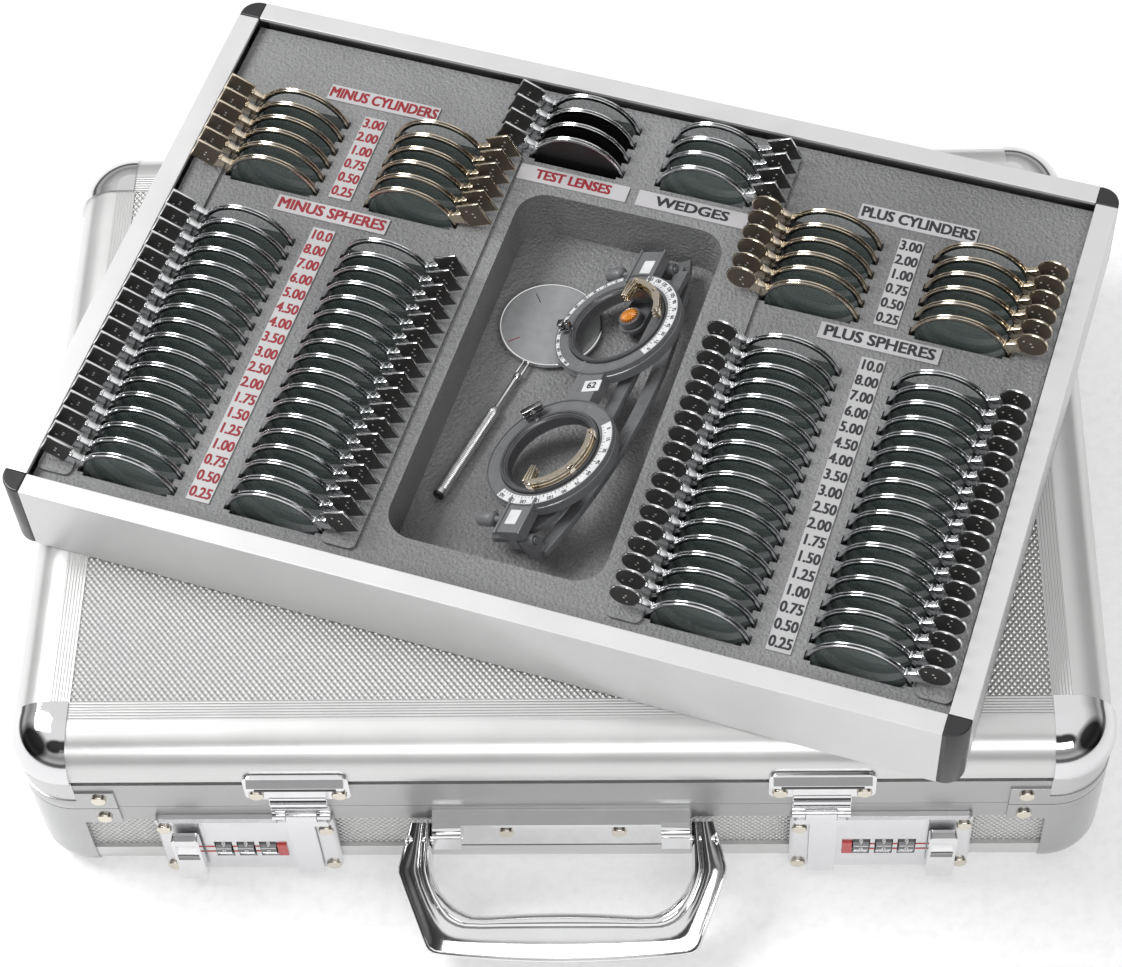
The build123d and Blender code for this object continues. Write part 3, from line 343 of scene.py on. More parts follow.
M = {
    "panel": panel_material(),
    "rail": rail_material("silver rail", (0.68, 0.68, 0.676), 0.305, (0.170, 0.1141, 0.0072)),
    # Seam rails: the same drawn aluminium as the other rails, darker as painted shade.
    "rim_rail": rail_material("seam rail painted shade", (0.45, 0.45, 0.45), 0.32),
    "tray_rail": rail_material("tray rail", (0.68, 0.68, 0.68), 0.38, metallic=0.5),
    "corner": corner_material(),
    "base_corner": metal("base corner", (0.46, 0.46, 0.465), 0.20, 0.03, 30, grain=0.03, metallic=0.9),
    "knurl": metal("knurled steel", (0.70, 0.70, 0.70), 0.34, 0.05, 300, grain=0.6),
    "chrome": metal("chrome", (0.80, 0.80, 0.81), 0.07, 0.02, 80),
    "handle": metal("handle plating", (0.78, 0.78, 0.785), 0.10, 0.02, 60),
    "satin": metal("satin plating", (0.80, 0.80, 0.815), 0.24, 0.02, 40, metallic=0.8),
    "rivet": metal("rivet", (0.74, 0.69, 0.60), 0.22, 0.04, 200),
    "dial": metal("number wheel", (0.20, 0.20, 0.205), 0.18, 0.04, 300),
    "red": plain_material("red plastic", (0.55, 0.02, 0.02), 0.25, coat=0.5),
    "lining": grain_material("lining", (0.03, 0.03, 0.035), (0.05, 0.05, 0.055), 0.85, 900, 0.0003),
    "foam": grain_material("lid foam", (0.035, 0.035, 0.04), (0.05, 0.05, 0.055), 0.9, 500, 0.0008),
    "black": plain_material("black plastic", (0.018, 0.018, 0.02), 0.32, grain=0.1),
    "board": grain_material("base board", (0.20, 0.14, 0.08), (0.30, 0.22, 0.14), 0.7, 300, 0.0003),
    "insert": grain_material("tray insert", (0.145, 0.146, 0.149), (0.290, 0.291, 0.295), 0.50, 820, 0.0008),
    "plate": metal("printed plate", (0.50, 0.49, 0.50), 0.38, 0.04, 40, metallic=0.3),
    "strip": metal("number strip", (0.47, 0.47, 0.475), 0.40, 0.04, 40, metallic=0.3),
    "gold": metal("pale gold rim", (0.80, 0.70, 0.56), 0.14, 0.03, 120),
    "rim": metal("chrome rim", (0.82, 0.83, 0.84), 0.12, 0.03, 120),
    "glass": glass_material("lens glass", (0.30, 0.37, 0.35), 0.12),
    "tab": metal("handle tab face", (0.050, 0.047, 0.045), 0.37, 0.08, 420, grain=0.3, metallic=0.3),
    "gold_tab": metal("gold tab face", (0.13, 0.105, 0.080), 0.37, 0.08, 420, grain=0.3, metallic=0.4),
    # Dark body of each lens rim: painted shade in its groove.
    "groove": metal("rim groove painted shade", (0.16, 0.16, 0.165), 0.22, 0.04, 200),
    "mark": plain_material("white mark", (0.75, 0.75, 0.74), 0.4, grain=0.0),
    "occluder": plain_material("opaque disc", (0.006, 0.006, 0.006), 0.35, coat=0.0, grain=0.02),
    "frame": plain_material("trial frame enamel", (0.155, 0.157, 0.163), 0.30, coat=0.4, grain=0.06),
    "cell": plain_material("lens cell enamel", (0.075, 0.076, 0.081), 0.30, coat=0.4, grain=0.05),
    "temple": plain_material("temple enamel", (0.135, 0.137, 0.142), 0.28, coat=0.5, grain=0.06),
    "steel": metal("grey steel", (0.42, 0.42, 0.43), 0.20, 0.05, 200),
    "spring": metal("gold spring", (0.83, 0.74, 0.60), 0.16, 0.05, 260),
    "scale": plain_material("white scale", (0.66, 0.67, 0.68), 0.4),
    "knob": plain_material("orange knob", (0.62, 0.22, 0.02), 0.35),
    "disc": plain_material("pale disc", (0.27, 0.275, 0.28), 0.16, coat=0.5, grain=0.0),
    # Near-black bead dashes: painted shade in the channel between the lid's rails.
    "shadow": metal("bead painted shade", (0.06, 0.06, 0.06), 0.40, 0.05, 200),
    "ink": plain_material("black ink", (0.02, 0.02, 0.025), 0.5, grain=0.0),
    "red_ink": plain_material("red ink", (0.26, 0.010, 0.018), 0.5, grain=0.0),
}

LOOKS = {
    "panel": ("base_shell", "lid_shell"),
    "rail": ("base_edge_rails", "lid_edge_rails"),
    "rim_rail": ("base_rim_rails", "lid_rim_rail"),
    "tray_rail": ("tray_rails",),
    "corner": ("lid_corner_caps",),
    "base_corner": ("base_corner_caps", "lid_seam_brackets"),
    "chrome": (
        "handle_bracket", "latch_brackets", "pivot_pins", "hinge_base_leaves", "hinge_lid_leaves",
        "hinge_pins", "hand_lens_holder", "left_lock_button", "right_lock_button",
    ),
    "handle": ("handle",),
    "satin": ("lock_plates", "left_hasp", "right_hasp"),
    "rivet": ("base_rivets", "lid_rivets"),
    "dial": tuple(f"{s}_dial_{i}" for s in ("left", "right") for i in (1, 2, 3)),
    "red": ("lock_indicators",),
    "lining": ("base_lining",),
    "foam": ("lid_lining",),
    "black": ("tray_corners",),
    "temple": ("left_temple", "right_temple"),
    "board": ("tray_base_board",),
    "insert": ("tray_insert",),
    "plate": ("title_plates",),
    "strip": ("scale_strips",),
    "gold": ("minus_cylinder_rims", "plus_cylinder_rims"),
    "rim": ("minus_sphere_rims", "plus_sphere_rims", "prism_rims", "test_lens_rims"),
    "glass": (
        "minus_cylinder_glass", "plus_cylinder_glass", "minus_sphere_glass",
        "plus_sphere_glass", "prism_glass", "test_lens_glass",
    ),
    "occluder": ("test_lens_occluders",),
    "frame": ("frame_body",),
    "scale": ("frame_scales",),
    "cell": ("left_lens_cell", "right_lens_cell"),
    "knob": ("frame_knob",),
    "disc": ("hand_lens_disc",),
}
for look, names in LOOKS.items():
    for name in names:
        NODES[name].data.materials.clear()
        NODES[name].data.materials.append(M[look])

# Widths in millimetres of the softened edges of CAD pieces.
BEVELS = {
    "handle_bracket": 0.5, "latch_brackets": 0.45, "left_hasp": 0.3, "right_hasp": 0.3,
    "left_lock_button": 0.6, "right_lock_button": 0.6, "frame_body": 0.5, "tray_corners": 0.7,
    "left_temple": 0.8, "right_temple": 0.8, "lock_plates": 0.25, "lid_seam_brackets": 0.2,
    "tray_rails": 0.3, "lock_indicators": 0.4,
}
for name, width in BEVELS.items():
    weld = NODES[name].modifiers.new("weld", "WELD")
    weld.merge_threshold = 0.00002
    bevel = NODES[name].modifiers.new("bevel", "BEVEL")
    bevel.width = width * MM
    bevel.segments = 3
    bevel.limit_method = "ANGLE"
    bevel.angle_limit = math.radians(32)
    bevel.harden_normals = False


# ------------------------------------------------------------ piece helpers
def mesh_object(name, mesh, material, body):
    """Add a mesh to the scene as a piece that rides on a body."""
    piece = bpy.data.objects.new(name, mesh)
    bpy.context.scene.collection.objects.link(piece)
    mesh.materials.append(material)
    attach(piece, body)
    return piece


def finish_mesh(name, bm, material, body, smooth=False):
    """Turn geometry in millimetres, in the shared frame, into a piece in metres."""
    bmesh.ops.scale(bm, vec=(MM, MM, MM), verts=bm.verts)
    mesh = bpy.data.meshes.new(name)
    bm.to_mesh(mesh)
    bm.free()
    if smooth:
        mesh.polygons.foreach_set("use_smooth", [True] * len(mesh.polygons))
        mesh.set_sharp_from_angle(angle=math.radians(35))
    return mesh_object(name, mesh, material, body)


def add_text(bm, words, size, matrix, bold=0.0, squeeze=1.0, thick=0.06):
    """Flat lettering laid on the X-Y plane of a matrix, centred, thickened by shifted copies."""
    curve = bpy.data.curves.new("words", "FONT")
    curve.body = words
    curve.size = size
    curve.align_x = "CENTER"
    curve.align_y = "CENTER"
    curve.extrude = thick
    curve.resolution_u = 3
    holder = bpy.data.objects.new("words", curve)
    bpy.context.scene.collection.objects.link(holder)
    bpy.context.view_layer.update()
    mesh = bpy.data.meshes.new_from_object(holder)
    mesh.transform(matrix @ Matrix.Diagonal((squeeze, 1.0, 1.0, 1.0)))
    across, up = matrix.col[0].to_3d() * bold, matrix.col[1].to_3d() * bold
    lift = matrix.col[2].to_3d() * 0.006
    shifts = ((-1, -0.5), (-1, 0.5), (1, 0.5), (1, -0.5), (0, 0)) if bold else ((0, 0),)
    for n, (dx, dy) in enumerate(shifts):
        step = across * dx + up * dy + lift * n
        mesh.transform(Matrix.Translation(step))
        bm.from_mesh(mesh)
        mesh.transform(Matrix.Translation(-step))
    bpy.data.objects.remove(holder)
    bpy.data.curves.remove(curve)
    bpy.data.meshes.remove(mesh)


# ------------------------------------------------------- titles and numbers
TITLE_SIZE = 6.8
NUMBER_SIZE = 6.2
SPHERE_NUMBERS = (
    "10.0 8.00 7.00 6.00 5.00 4.50 4.00 3.50 3.00 2.50 2.00 1.75 1.50 1.25 1.00 0.75 0.50 0.25"
).split()
CYLINDER_NUMBERS = "3.00 2.00 1.00 0.75 0.50 0.25".split()
PLATE_TOP = INSERT_TOP + 0.6
inks = {-1: bmesh.new(), 1: bmesh.new()}


def on_plate(x, y):
    return TRAY @ Matrix.Translation((x, y, PLATE_TOP))


for side, titles in (
    (-1, ("MINUS SPHERES", "MINUS CYLINDERS", "TEST LENSES")),
    (1, ("PLUS SPHERES", "PLUS CYLINDERS", "WEDGES")),
):
    narrow = (0.90, 0.77, 0.85) if side < 0 else (0.98, 0.84, 1.15)
    add_text(inks[side], titles[0], TITLE_SIZE, on_plate(side * BLOCK_X, 30.9), 0.24, narrow[0])
    add_text(inks[side], titles[1], TITLE_SIZE, on_plate(side * BLOCK_X, 87.8), 0.24, narrow[1])
    add_text(inks[side], titles[2], NUMBER_SIZE, on_plate(side * 23.4, 70.9), 0.24, narrow[2])
    for n, number in enumerate(SPHERE_NUMBERS):
        add_text(inks[side], number, NUMBER_SIZE, on_plate(side * BLOCK_X, 19.9 - 7.03 * n), 0.19, 0.78)
    for n, number in enumerate(CYLINDER_NUMBERS):
        add_text(inks[side], number, NUMBER_SIZE, on_plate(side * BLOCK_X, 76.3 - 6.85 * n), 0.19, 0.78)
finish_mesh("minus_lettering", inks[-1], M["red_ink"], "tray")
finish_mesh("plus_lettering", inks[1], M["ink"], "tray")

# ------------------------------------------------------------------- lenses
TAB_ANGLE = math.radians(27.0)
SLEEVE = (17.9, 24.2)
SLEEVE_SIDES = (4.9, 2.6)
COLLAR = (0.9, 5.3, 3.0)
TAB_END = 33.9
TAB_W = 11.4
TAB_T = 0.9
FACE_T = 0.96              # the dark face stands just proud of the tab on both sides
ROUND_TAB_R = 5.9
ROUND_TAB_AT = 28.7


def stand(x, y):
    """A frame at a lens centre: X across the tray, Y up, Z towards the front."""
    return TRAY @ Matrix.Translation((x, y, LENS_Z)) @ Matrix.Rotation(math.pi / 2, 4, "X")


def lathe(profile, segments, closed=True):
    """Turn (radius, axial) points about Z: a closed profile for a ring, an open one for a pin."""
    bm = bmesh.new()
    rings = []
    for n in range(segments):
        a = 2 * math.pi * n / segments
        rings.append([bm.verts.new((r * math.cos(a), r * math.sin(a), z)) for r, z in profile])
    count = len(profile)
    for n in range(segments):
        here, there = rings[n], rings[(n + 1) % segments]
        for m in range(count if closed else count - 1):
            k = (m + 1) % count
            bm.faces.new((here[m], there[m], there[k], here[k]))
    return bm


def box_mesh(size, centre=(0, 0, 0), bevel=0.0, segments=2):
    """A box with softened edges."""
    bm = bmesh.new()
    bmesh.ops.create_cube(bm, size=1.0)
    bmesh.ops.scale(bm, vec=size, verts=bm.verts)
    bmesh.ops.translate(bm, vec=centre, verts=bm.verts)
    if bevel:
        bmesh.ops.bevel(
            bm, geom=bm.edges[:], offset=bevel, segments=segments, affect="EDGES", profile=0.5
        )
    return bm


def disc_mesh(radius, thick, segments=40, bevel=0.0):
    """A disc about Z with a chamfered rim."""
    h = thick / 2
    flat = radius - bevel
    profile = [(0.001, -h), (flat, -h), (radius, -h + bevel), (radius, h - bevel), (flat, h), (0.001, h)]
    bm = lathe(profile, segments, closed=False)
    bmesh.ops.remove_doubles(bm, verts=bm.verts, dist=0.01)
    return bm


def merge(target, source, matrix, material=0, free=True):
    """Add one bmesh to another, moved by a matrix and given a material index."""
    mesh = bpy.data.meshes.new("part")
    source.to_mesh(mesh)
    mesh.transform(matrix)
    before = len(target.faces)
    target.from_mesh(mesh)
    target.faces.ensure_lookup_table()
    for face in target.faces[before:]:
        face.material_index = material
    bpy.data.meshes.remove(mesh)
    if free:
        source.free()


SQUARED_OFF = 0.75         # 1 would be a true ellipse


def ring_profile(inner, outer, half, points):
    """A squared-off oval section for a ring, as (radius, axial) points."""
    middle, reach = (inner + outer) / 2, (outer - inner) / 2
    out = []
    for n in range(points):
        a = 2 * math.pi * n / points
        c, s = math.cos(a), math.sin(a)
        out.append((
            middle + reach * math.copysign(abs(c) ** SQUARED_OFF, c),
            half * math.copysign(abs(s) ** SQUARED_OFF, s),
        ))
    return out


# A lens rim is a grooved body between two bright ridges; the body's dark colour is painted shade in the
# groove.
RIDGE_Z = 0.62
RIM = lathe([
    (17.4, -0.75), (18.55, -0.75), (18.6, -0.35), (18.4, 0.0), (18.6, 0.35), (18.55, 0.75), (17.4, 0.75),
    (17.15, 0.45), (17.15, -0.45),
], 72)
RIDGE = lathe([
    (18.2, -0.26), (18.75, -0.27), (LENS_R - 0.05, -0.14), (LENS_R, 0.0), (LENS_R - 0.05, 0.14),
    (18.75, 0.27), (18.2, 0.26),
], 80)


def handle_meshes(round_tab):
    """Sleeve and tab of one lens handle along +X: [(bmesh, material index)]."""
    middle = (SLEEVE[0] + SLEEVE[1]) / 2
    out = [(box_mesh((SLEEVE[1] - SLEEVE[0], *SLEEVE_SIDES), (middle, 0, 0), 0.5), 0)]
    for x in (SLEEVE[0] + 1.1, SLEEVE[1] - 0.9):
        out.append((box_mesh(COLLAR, (x, 0, 0), 0.3), 0))
    if round_tab:
        tab = disc_mesh(ROUND_TAB_R, TAB_T, 40, 0.22)
        bmesh.ops.translate(tab, vec=(ROUND_TAB_AT, 0, 0), verts=tab.verts)
        face = disc_mesh(ROUND_TAB_R - 0.45, FACE_T, 40)
        bmesh.ops.translate(face, vec=(ROUND_TAB_AT, 0, 0), verts=face.verts)
    else:
        length = TAB_END - SLEEVE[1] + 0.4
        x = TAB_END - length / 2
        tab = box_mesh((length, TAB_W, TAB_T), (x, 0, 0), 0.22)
        face = box_mesh((length - 0.9, TAB_W - 0.9, FACE_T), (x, 0, 0))
    out.append((tab, 0))
    out.append((face, 1))
    return out


def lens_profile(power, radius=17.3):
    """Half section of a lens disc, thick in the middle for plus and at the edge for minus."""
    edge, middle = {1: (0.55, 1.0), -1: (0.95, 0.45), 0: (0.7, 0.7)}[power]
    steps = 6
    front = [
        (radius * n / steps, middle + (edge - middle) * (n / steps) ** 2) for n in range(steps + 1)
    ]
    front[0] = (0.001, middle)
    return [(r, -z) for r, z in front] + [(r, z) for r, z in reversed(front)]


def lens_set(name, body, rows, columns, round_tab, power, looks, glass_rows=None):
    """All lenses of one group: rings with their handles, engraved marks and discs."""
    rim_look, tab_look, slot = looks
    rims, glass, marks = bmesh.new(), bmesh.new(), bmesh.new()
    parts = handle_meshes(round_tab)
    disc = lathe(lens_profile(power), 48, closed=False)
    bmesh.ops.remove_doubles(disc, verts=disc.verts, dist=0.01)
    for x, toward in columns:
        for number, y in enumerate(rows):
            place = stand(x, y)
            merge(rims, RIM, place, 2, free=False)
            for z in (-RIDGE_Z, RIDGE_Z):
                merge(rims, RIDGE, place @ Matrix.Translation((0, 0, z)), 0, free=False)
            turn = TAB_ANGLE if toward > 0 else math.pi - TAB_ANGLE
            handle = place @ Matrix.Rotation(turn, 4, "Z")
            for bm, index in parts:
                merge(rims, bm, handle, index, free=False)
            if glass_rows is None or y in glass_rows:
                merge(glass, disc, place, 0, free=False)
            at = ROUND_TAB_AT if round_tab else (SLEEVE[1] + TAB_END) / 2
            for dx, dy in ((0.0, -0.8), (0.0, 0.9), (2.0 if number % 2 else -2.0, 2.6)):
                dot = box_mesh((0.7, 0.5, 0.12), (at + dx, dy, 0.5))
                merge(marks, dot, handle)
    for bm, _ in parts:
        bm.free()
    disc.free()
    piece = finish_mesh(f"{name}_rings", rims, M[rim_look], body, smooth=True)
    piece.data.materials.append(M[tab_look])
    piece.data.materials.append(M["groove"])
    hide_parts(f"{name}_rims")
    finish_mesh(f"{name}_marks", marks, M["mark"], body)
    lens = finish_mesh(f"{name}_lenses", glass, M["glass"], body, smooth=True)
    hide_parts(f"{name}_glass")


LEFT_BLOCK = ((-OUTER_COLUMN, -1), (-INNER_COLUMN, 1))
RIGHT_BLOCK = ((INNER_COLUMN, -1), (OUTER_COLUMN, 1))
GILT = ("gold", "gold_tab", "gold_rim")
PLATED = ("rim", "tab", "chrome_rim")
lens_set("minus_cylinder", "minus_cylinders", CYLINDER_ROWS, LEFT_BLOCK, False, -1, GILT)
lens_set("minus_sphere", "minus_spheres", SPHERE_ROWS, LEFT_BLOCK, False, -1, PLATED)
lens_set("plus_cylinder", "plus_cylinders", CYLINDER_ROWS, RIGHT_BLOCK, True, 1, GILT)
lens_set("plus_sphere", "plus_spheres", SPHERE_ROWS, RIGHT_BLOCK, True, 1, PLATED)
lens_set("prism", "prisms", TEST_ROWS, ((TEST_COLUMN, 1),), False, 0, PLATED)
lens_set("test_lens", "test_lenses", TEST_ROWS, ((-TEST_COLUMN, -1),), False, 0, PLATED, TEST_ROWS[3:])

# -------------------------------------------------------------- trial frame
EYE_X = 31.0
HOUSING_R = 24.8
CELL_BORE = 16.8
LUG_AT = 60.4
RIBBON = 0.36              # height of printed ticks over the frame's front face
DEGREE_FIGURES = range(0, 180, 15)


def specs(x, y, z, turn=0.0):
    """A frame on the trial frame: X turned by an angle in the frame's plane."""
    return SPECS @ Matrix.Translation((x, y, z)) @ Matrix.Rotation(turn, 4, "Z")


def around(eye, radius, degrees, z):
    """A frame on a ring about one eye, X pointing outwards."""
    a = math.radians(degrees)
    return specs(eye + radius * math.cos(a), radius * math.sin(a), z, a)


def arc_band(eye, inner, outer, start, end, low, high, steps=28):
    """A flat curved strip about one eye, in the trial frame's own frame."""
    bm = bmesh.new()
    rows = []
    for n in range(steps + 1):
        a = math.radians(start + (end - start) * n / steps)
        c, s = math.cos(a), math.sin(a)
        rows.append([
            bm.verts.new((eye + r * c, r * s, z))
            for r, z in ((inner, low), (outer, low), (outer, high), (inner, high))
        ])
    for here, there in zip(rows, rows[1:]):
        for m in range(4):
            k = (m + 1) % 4
            bm.faces.new((here[m], there[m], there[k], here[k]))
    bm.faces.new(rows[0])
    bm.faces.new(rows[-1][::-1])
    bmesh.ops.recalc_face_normals(bm, faces=bm.faces)
    return bm


# Degree scales: one wide band on each ring, with thin bands on the outer edge.
scales, figures = bmesh.new(), bmesh.new()
BANDS = (
    (EYE_X, 20.7, 24.4, -128.0, -8.0), (-EYE_X, 20.7, 24.4, -52.0, -212.0),
    (EYE_X, 23.0, 24.5, 18.0, 150.0),
)
for eye, inner, outer, start, end in BANDS:
    merge(scales, arc_band(eye, inner, outer, start, end, 0.0, 0.35), SPECS)
    steps = int(abs(end - start) / 4)
    for n in range(1, steps):
        a = start + (end - start) * n / steps
        long = n % 3 == 0
        reach = (1.1 if long else 0.7) * min(1.0, (outer - inner) / 2.4)
        tick = box_mesh((reach, 0.26 if long else 0.18, 0.08), (0, 0, 0))
        merge(figures, tick, around(eye, inner + 0.25 + reach / 2, a, RIBBON))
    for n, number in enumerate(DEGREE_FIGURES):
        a = start + (end - start) * (n + 0.6) / len(DEGREE_FIGURES)
        size = 2.1 if outer - inner > 2 else 1.5
        place = around(eye, outer - 0.62 * size, a, 0.38) @ Matrix.Rotation(-math.pi / 2, 4, "Z")
        add_text(figures, str(number), size, place, 0.06, 0.9, 0.03)
merge(scales, box_mesh((5.2, 7.0, 0.5), (0, 0, 0.25), 0.12), specs(0.5, -3.4, 0, 0.12))
add_text(figures, "62", 4.0, specs(0.5, -3.4, 0.54, -1.45), 0.12, 0.95, 0.03)
for x, y in ((59.7, -0.6), (-61.2, 0.9)):
    merge(scales, box_mesh((6.4, 4.6, 0.5), (0, 0, 0.2), 0.12), specs(x, y, 0))
piece = finish_mesh("trial_frame_scales", scales, M["scale"], "trial_frame")
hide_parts("frame_scales")
finish_mesh("trial_frame_figures", figures, M["ink"], "trial_frame")

# Side adjusters: a stem and a ribbed grip beside each lug, and two rails along it.
LUG_RAIL = (16.4, 1.0, 1.2)
adjusters = bmesh.new()
grip_profile = [
    (0.001, 0), (1.2, 0), (1.3, 4.6), (2.3, 4.9), (2.9, 5.6), (2.75, 6.6), (2.95, 7.2), (2.75, 7.9),
    (2.95, 8.6), (2.75, 9.3), (2.7, 11.6), (2.2, 12.2), (1.7, 12.0), (0.001, 11.6),
]
for x in (58.4, -60.4):
    turned = specs(x, 5.4, -2.4) @ Matrix.Rotation(-math.pi / 2, 4, "X")
    merge(adjusters, lathe(grip_profile, 28, closed=False), turned)
for side in SIDES:
    for y in (5.6, -4.6):
        merge(adjusters, box_mesh(LUG_RAIL, (0, 0, 0), 0.3), specs(side * LUG_AT, y, 0.1))
finish_mesh("trial_frame_adjusters", adjusters, M["frame"], "trial_frame", smooth=True)

# Raised lips and a bead round both housings, and three ribs on each side of the bridge.
lips = bmesh.new()
for eye in (-EYE_X, EYE_X):
    lip = lathe([(24.4, -0.2), (HOUSING_R, -0.2), (HOUSING_R, 0.5), (24.6, 0.7), (24.4, 0.5)], 96)
    merge(lips, lip, specs(eye, 0, 0))
    side_bead = lathe([(24.75, -3.0), (25.1, -2.8), (25.1, -1.7), (24.75, -1.5)], 96)
    merge(lips, side_bead, specs(eye, 0, 0))
for side in SIDES:
    for n in range(3):
        place = specs(side * (8.8 + 1.7 * n), side * 6.2, -0.2, side * 0.5)
        merge(lips, box_mesh((0.8, 3.4, 0.6), (0, 0, 0), 0.2), place)
finish_mesh("trial_frame_lips", lips, M["frame"], "trial_frame", smooth=True)

# Lens cells: a turned ring with a stepped bore, and sprung clips in layers.
cell_profile = [
    (CELL_BORE, -4.0), (20.2, -4.0), (20.2, -1.0), (19.2, -0.9), (19.2, 0.9), (18.9, 1.2),
    (18.1, 1.2), (17.9, 0.7), (17.4, 0.7), (17.2, 0.3), (CELL_BORE, -0.2),
]
# Start and end in degrees of each clip on a side's cell, and whether it is a long gilt one.
CLIPS = {
    -1: ((-178.0, -66.0, True), (28.0, 52.0, False)),
    1: ((-84.0, -4.0, True), (92.0, 108.0, False)),
}
for side in SIDES:
    eye = side * EYE_X
    name = SIDE_NAMES[side]
    ring = bmesh.new()
    merge(ring, lathe(cell_profile, 96), specs(eye, 0, 0))
    for n in range(36):
        merge(ring, box_mesh((0.5, 0.7, 0.35), (0, 0, 0), 0.1), around(eye, 18.6, n * 10.0, 1.15))
    piece = finish_mesh(f"{name}_cell_ring", ring, M["cell"], f"{name}_lens_cell", smooth=True)
    clips, bars = bmesh.new(), bmesh.new()
    for start, end, long in CLIPS[side]:
        for level in range(3):
            z = 1.6 + 1.5 * level
            if not long:
                bar = box_mesh((2.4, 8.2 if side < 0 else 3.0, 0.8), (0, 0, 0), 0.25)
                merge(bars, bar, around(eye, 21.4, (start + end) / 2, z + 0.2))
                continue
            merge(clips, arc_band(eye, 16.0 + 0.4 * level, 18.9, start, end, z, z + 0.4, 24), SPECS)
            tip = start if side < 0 else end
            for prong in (-1, 0, 1):
                merge(
                    clips, box_mesh((7.4, 0.9, 0.4), (-3.4, 0, 0), 0.12),
                    around(eye, 17.2, tip + prong * 4.6, z + 0.2),
                )
        middle = (start + end) / 2
        for a in (start + 4, middle, end - 4) if long else (middle,):
            target = clips if long else bars
            merge(target, box_mesh((1.1, 2.4, 4.4), (0, 0, 2.2), 0.2), around(eye, 18.6, a, 0.6))
            merge(target, disc_mesh(0.9, 0.6, 16, 0.15), around(eye, 18.2, a, 5.1))
        if not long:
            merge(bars, box_mesh((4.0, 1.6, 0.8), (0, 0, 0), 0.2), around(eye, 19.6, middle, 0.9))
    finish_mesh(f"{name}_cell_bars", bars, M["steel"], f"{name}_lens_cell", smooth=True)
    finish_mesh(f"{name}_cell_clips", clips, M["spring"], f"{name}_lens_cell", smooth=True)
    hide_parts(f"{name}_lens_cell")

# Setting knob: a grey ring round a toothed orange face.
KNOB_STEPS = 36            # a tooth and a gap for every two
KNOB = specs(42.0, 3.0, -6.9)
knob = bmesh.new()
teeth = []
for n in range(KNOB_STEPS):
    a = 2 * math.pi * n / KNOB_STEPS
    r = 3.6 if n % 2 else 2.5
    teeth.append((r * math.cos(a), r * math.sin(a)))
top = [knob.verts.new((x, y, 0.5)) for x, y in teeth]
low = [knob.verts.new((x, y, -0.6)) for x, y in teeth]
hub = knob.verts.new((0, 0, 1.3))
for n in range(KNOB_STEPS):
    k = (n + 1) % KNOB_STEPS
    knob.faces.new((low[n], low[k], top[k], top[n]))
    knob.faces.new((top[n], top[k], hub))
knob_ring = lathe([
    (1.4, -3.1), (4.3, -3.1), (4.4, -2.9), (4.4, -0.4), (4.1, -0.1), (3.5, -0.4), (1.4, -0.5),
], 40)
knob_all = bmesh.new()
merge(knob_all, knob, KNOB, 1)
merge(knob_all, knob_ring, KNOB)
piece = finish_mesh("frame_knob_face", knob_all, M["frame"], "frame_knob", smooth=True)
piece.data.materials.append(M["knob"])
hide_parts("frame_knob")

# ---------------------------------------------------------------- hand lens
HAND_R = 19.5
GRIP = (43.0, 86.5)
GRIP_R = 2.25
KNURL_PITCH = 0.75
stem_profile = [
    (0.001, 25.5), (1.3, 25.5), (1.5, 26.0), (1.5, 27.4), (1.0, 28.0), (0.95, 42.6), (1.15, 43.2),
    (0.001, 43.3),
]
cap_profile = [
    (2.0, GRIP[1] - 1.0), (GRIP_R, GRIP[1] - 0.7), (2.1, GRIP[1] - 0.1), (1.3, GRIP[1]),
    (1.1, GRIP[1] - 0.6), (0.001, GRIP[1] - 0.6),
]
holder = bmesh.new()
merge(holder, lathe(ring_profile(18.35, HAND_R, 0.9, 12), 96), HAND)
along = HAND @ Matrix.Rotation(math.pi / 2, 4, "Y")
merge(holder, lathe(stem_profile, 24, closed=False), along)
for y in (-1.05, 1.05):
    merge(holder, box_mesh((8.0, 0.8, 1.3), (22.9, y, 0), 0.25), HAND)
grip = [(0.001, GRIP[0]), (1.5, GRIP[0]), (2.1, GRIP[0] + 0.8), (GRIP_R, GRIP[0] + 2.0)]
x = GRIP[0] + 2.4
while x < GRIP[1] - 3.0:
    grip += [(GRIP_R, x), (GRIP_R - 0.2, x + 0.3)]
    x += KNURL_PITCH
grip += [(GRIP_R, GRIP[1] - 2.6), (GRIP_R, GRIP[1] - 1.0), (1.9, GRIP[1] - 0.9)]
merge(holder, lathe(grip, 32, closed=False), along, 1)
merge(holder, lathe(cap_profile, 32, closed=False), along, 2)
piece = finish_mesh("hand_lens_mount", holder, M["chrome"], "hand_lens", smooth=True)
piece.data.materials.append(M["knurl"])
piece.data.materials.append(M["black"])
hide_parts("hand_lens_holder")
# A black and a red tick near the disc's edge, each given by its angle and its two ends.
marks = bmesh.new()
for slot, (degrees, start, end) in enumerate(((-132.0, 11.0, 15.8), (-36.0, 12.8, 17.6))):
    turn = Matrix.Rotation(math.radians(degrees), 4, "Z")
    merge(marks, box_mesh((end - start, 0.34, 0.08), ((start + end) / 2, 0, 0.72)), HAND @ turn, slot)
piece = finish_mesh("hand_lens_marks", marks, M["ink"], "hand_lens")
piece.data.materials.append(M["red_ink"])

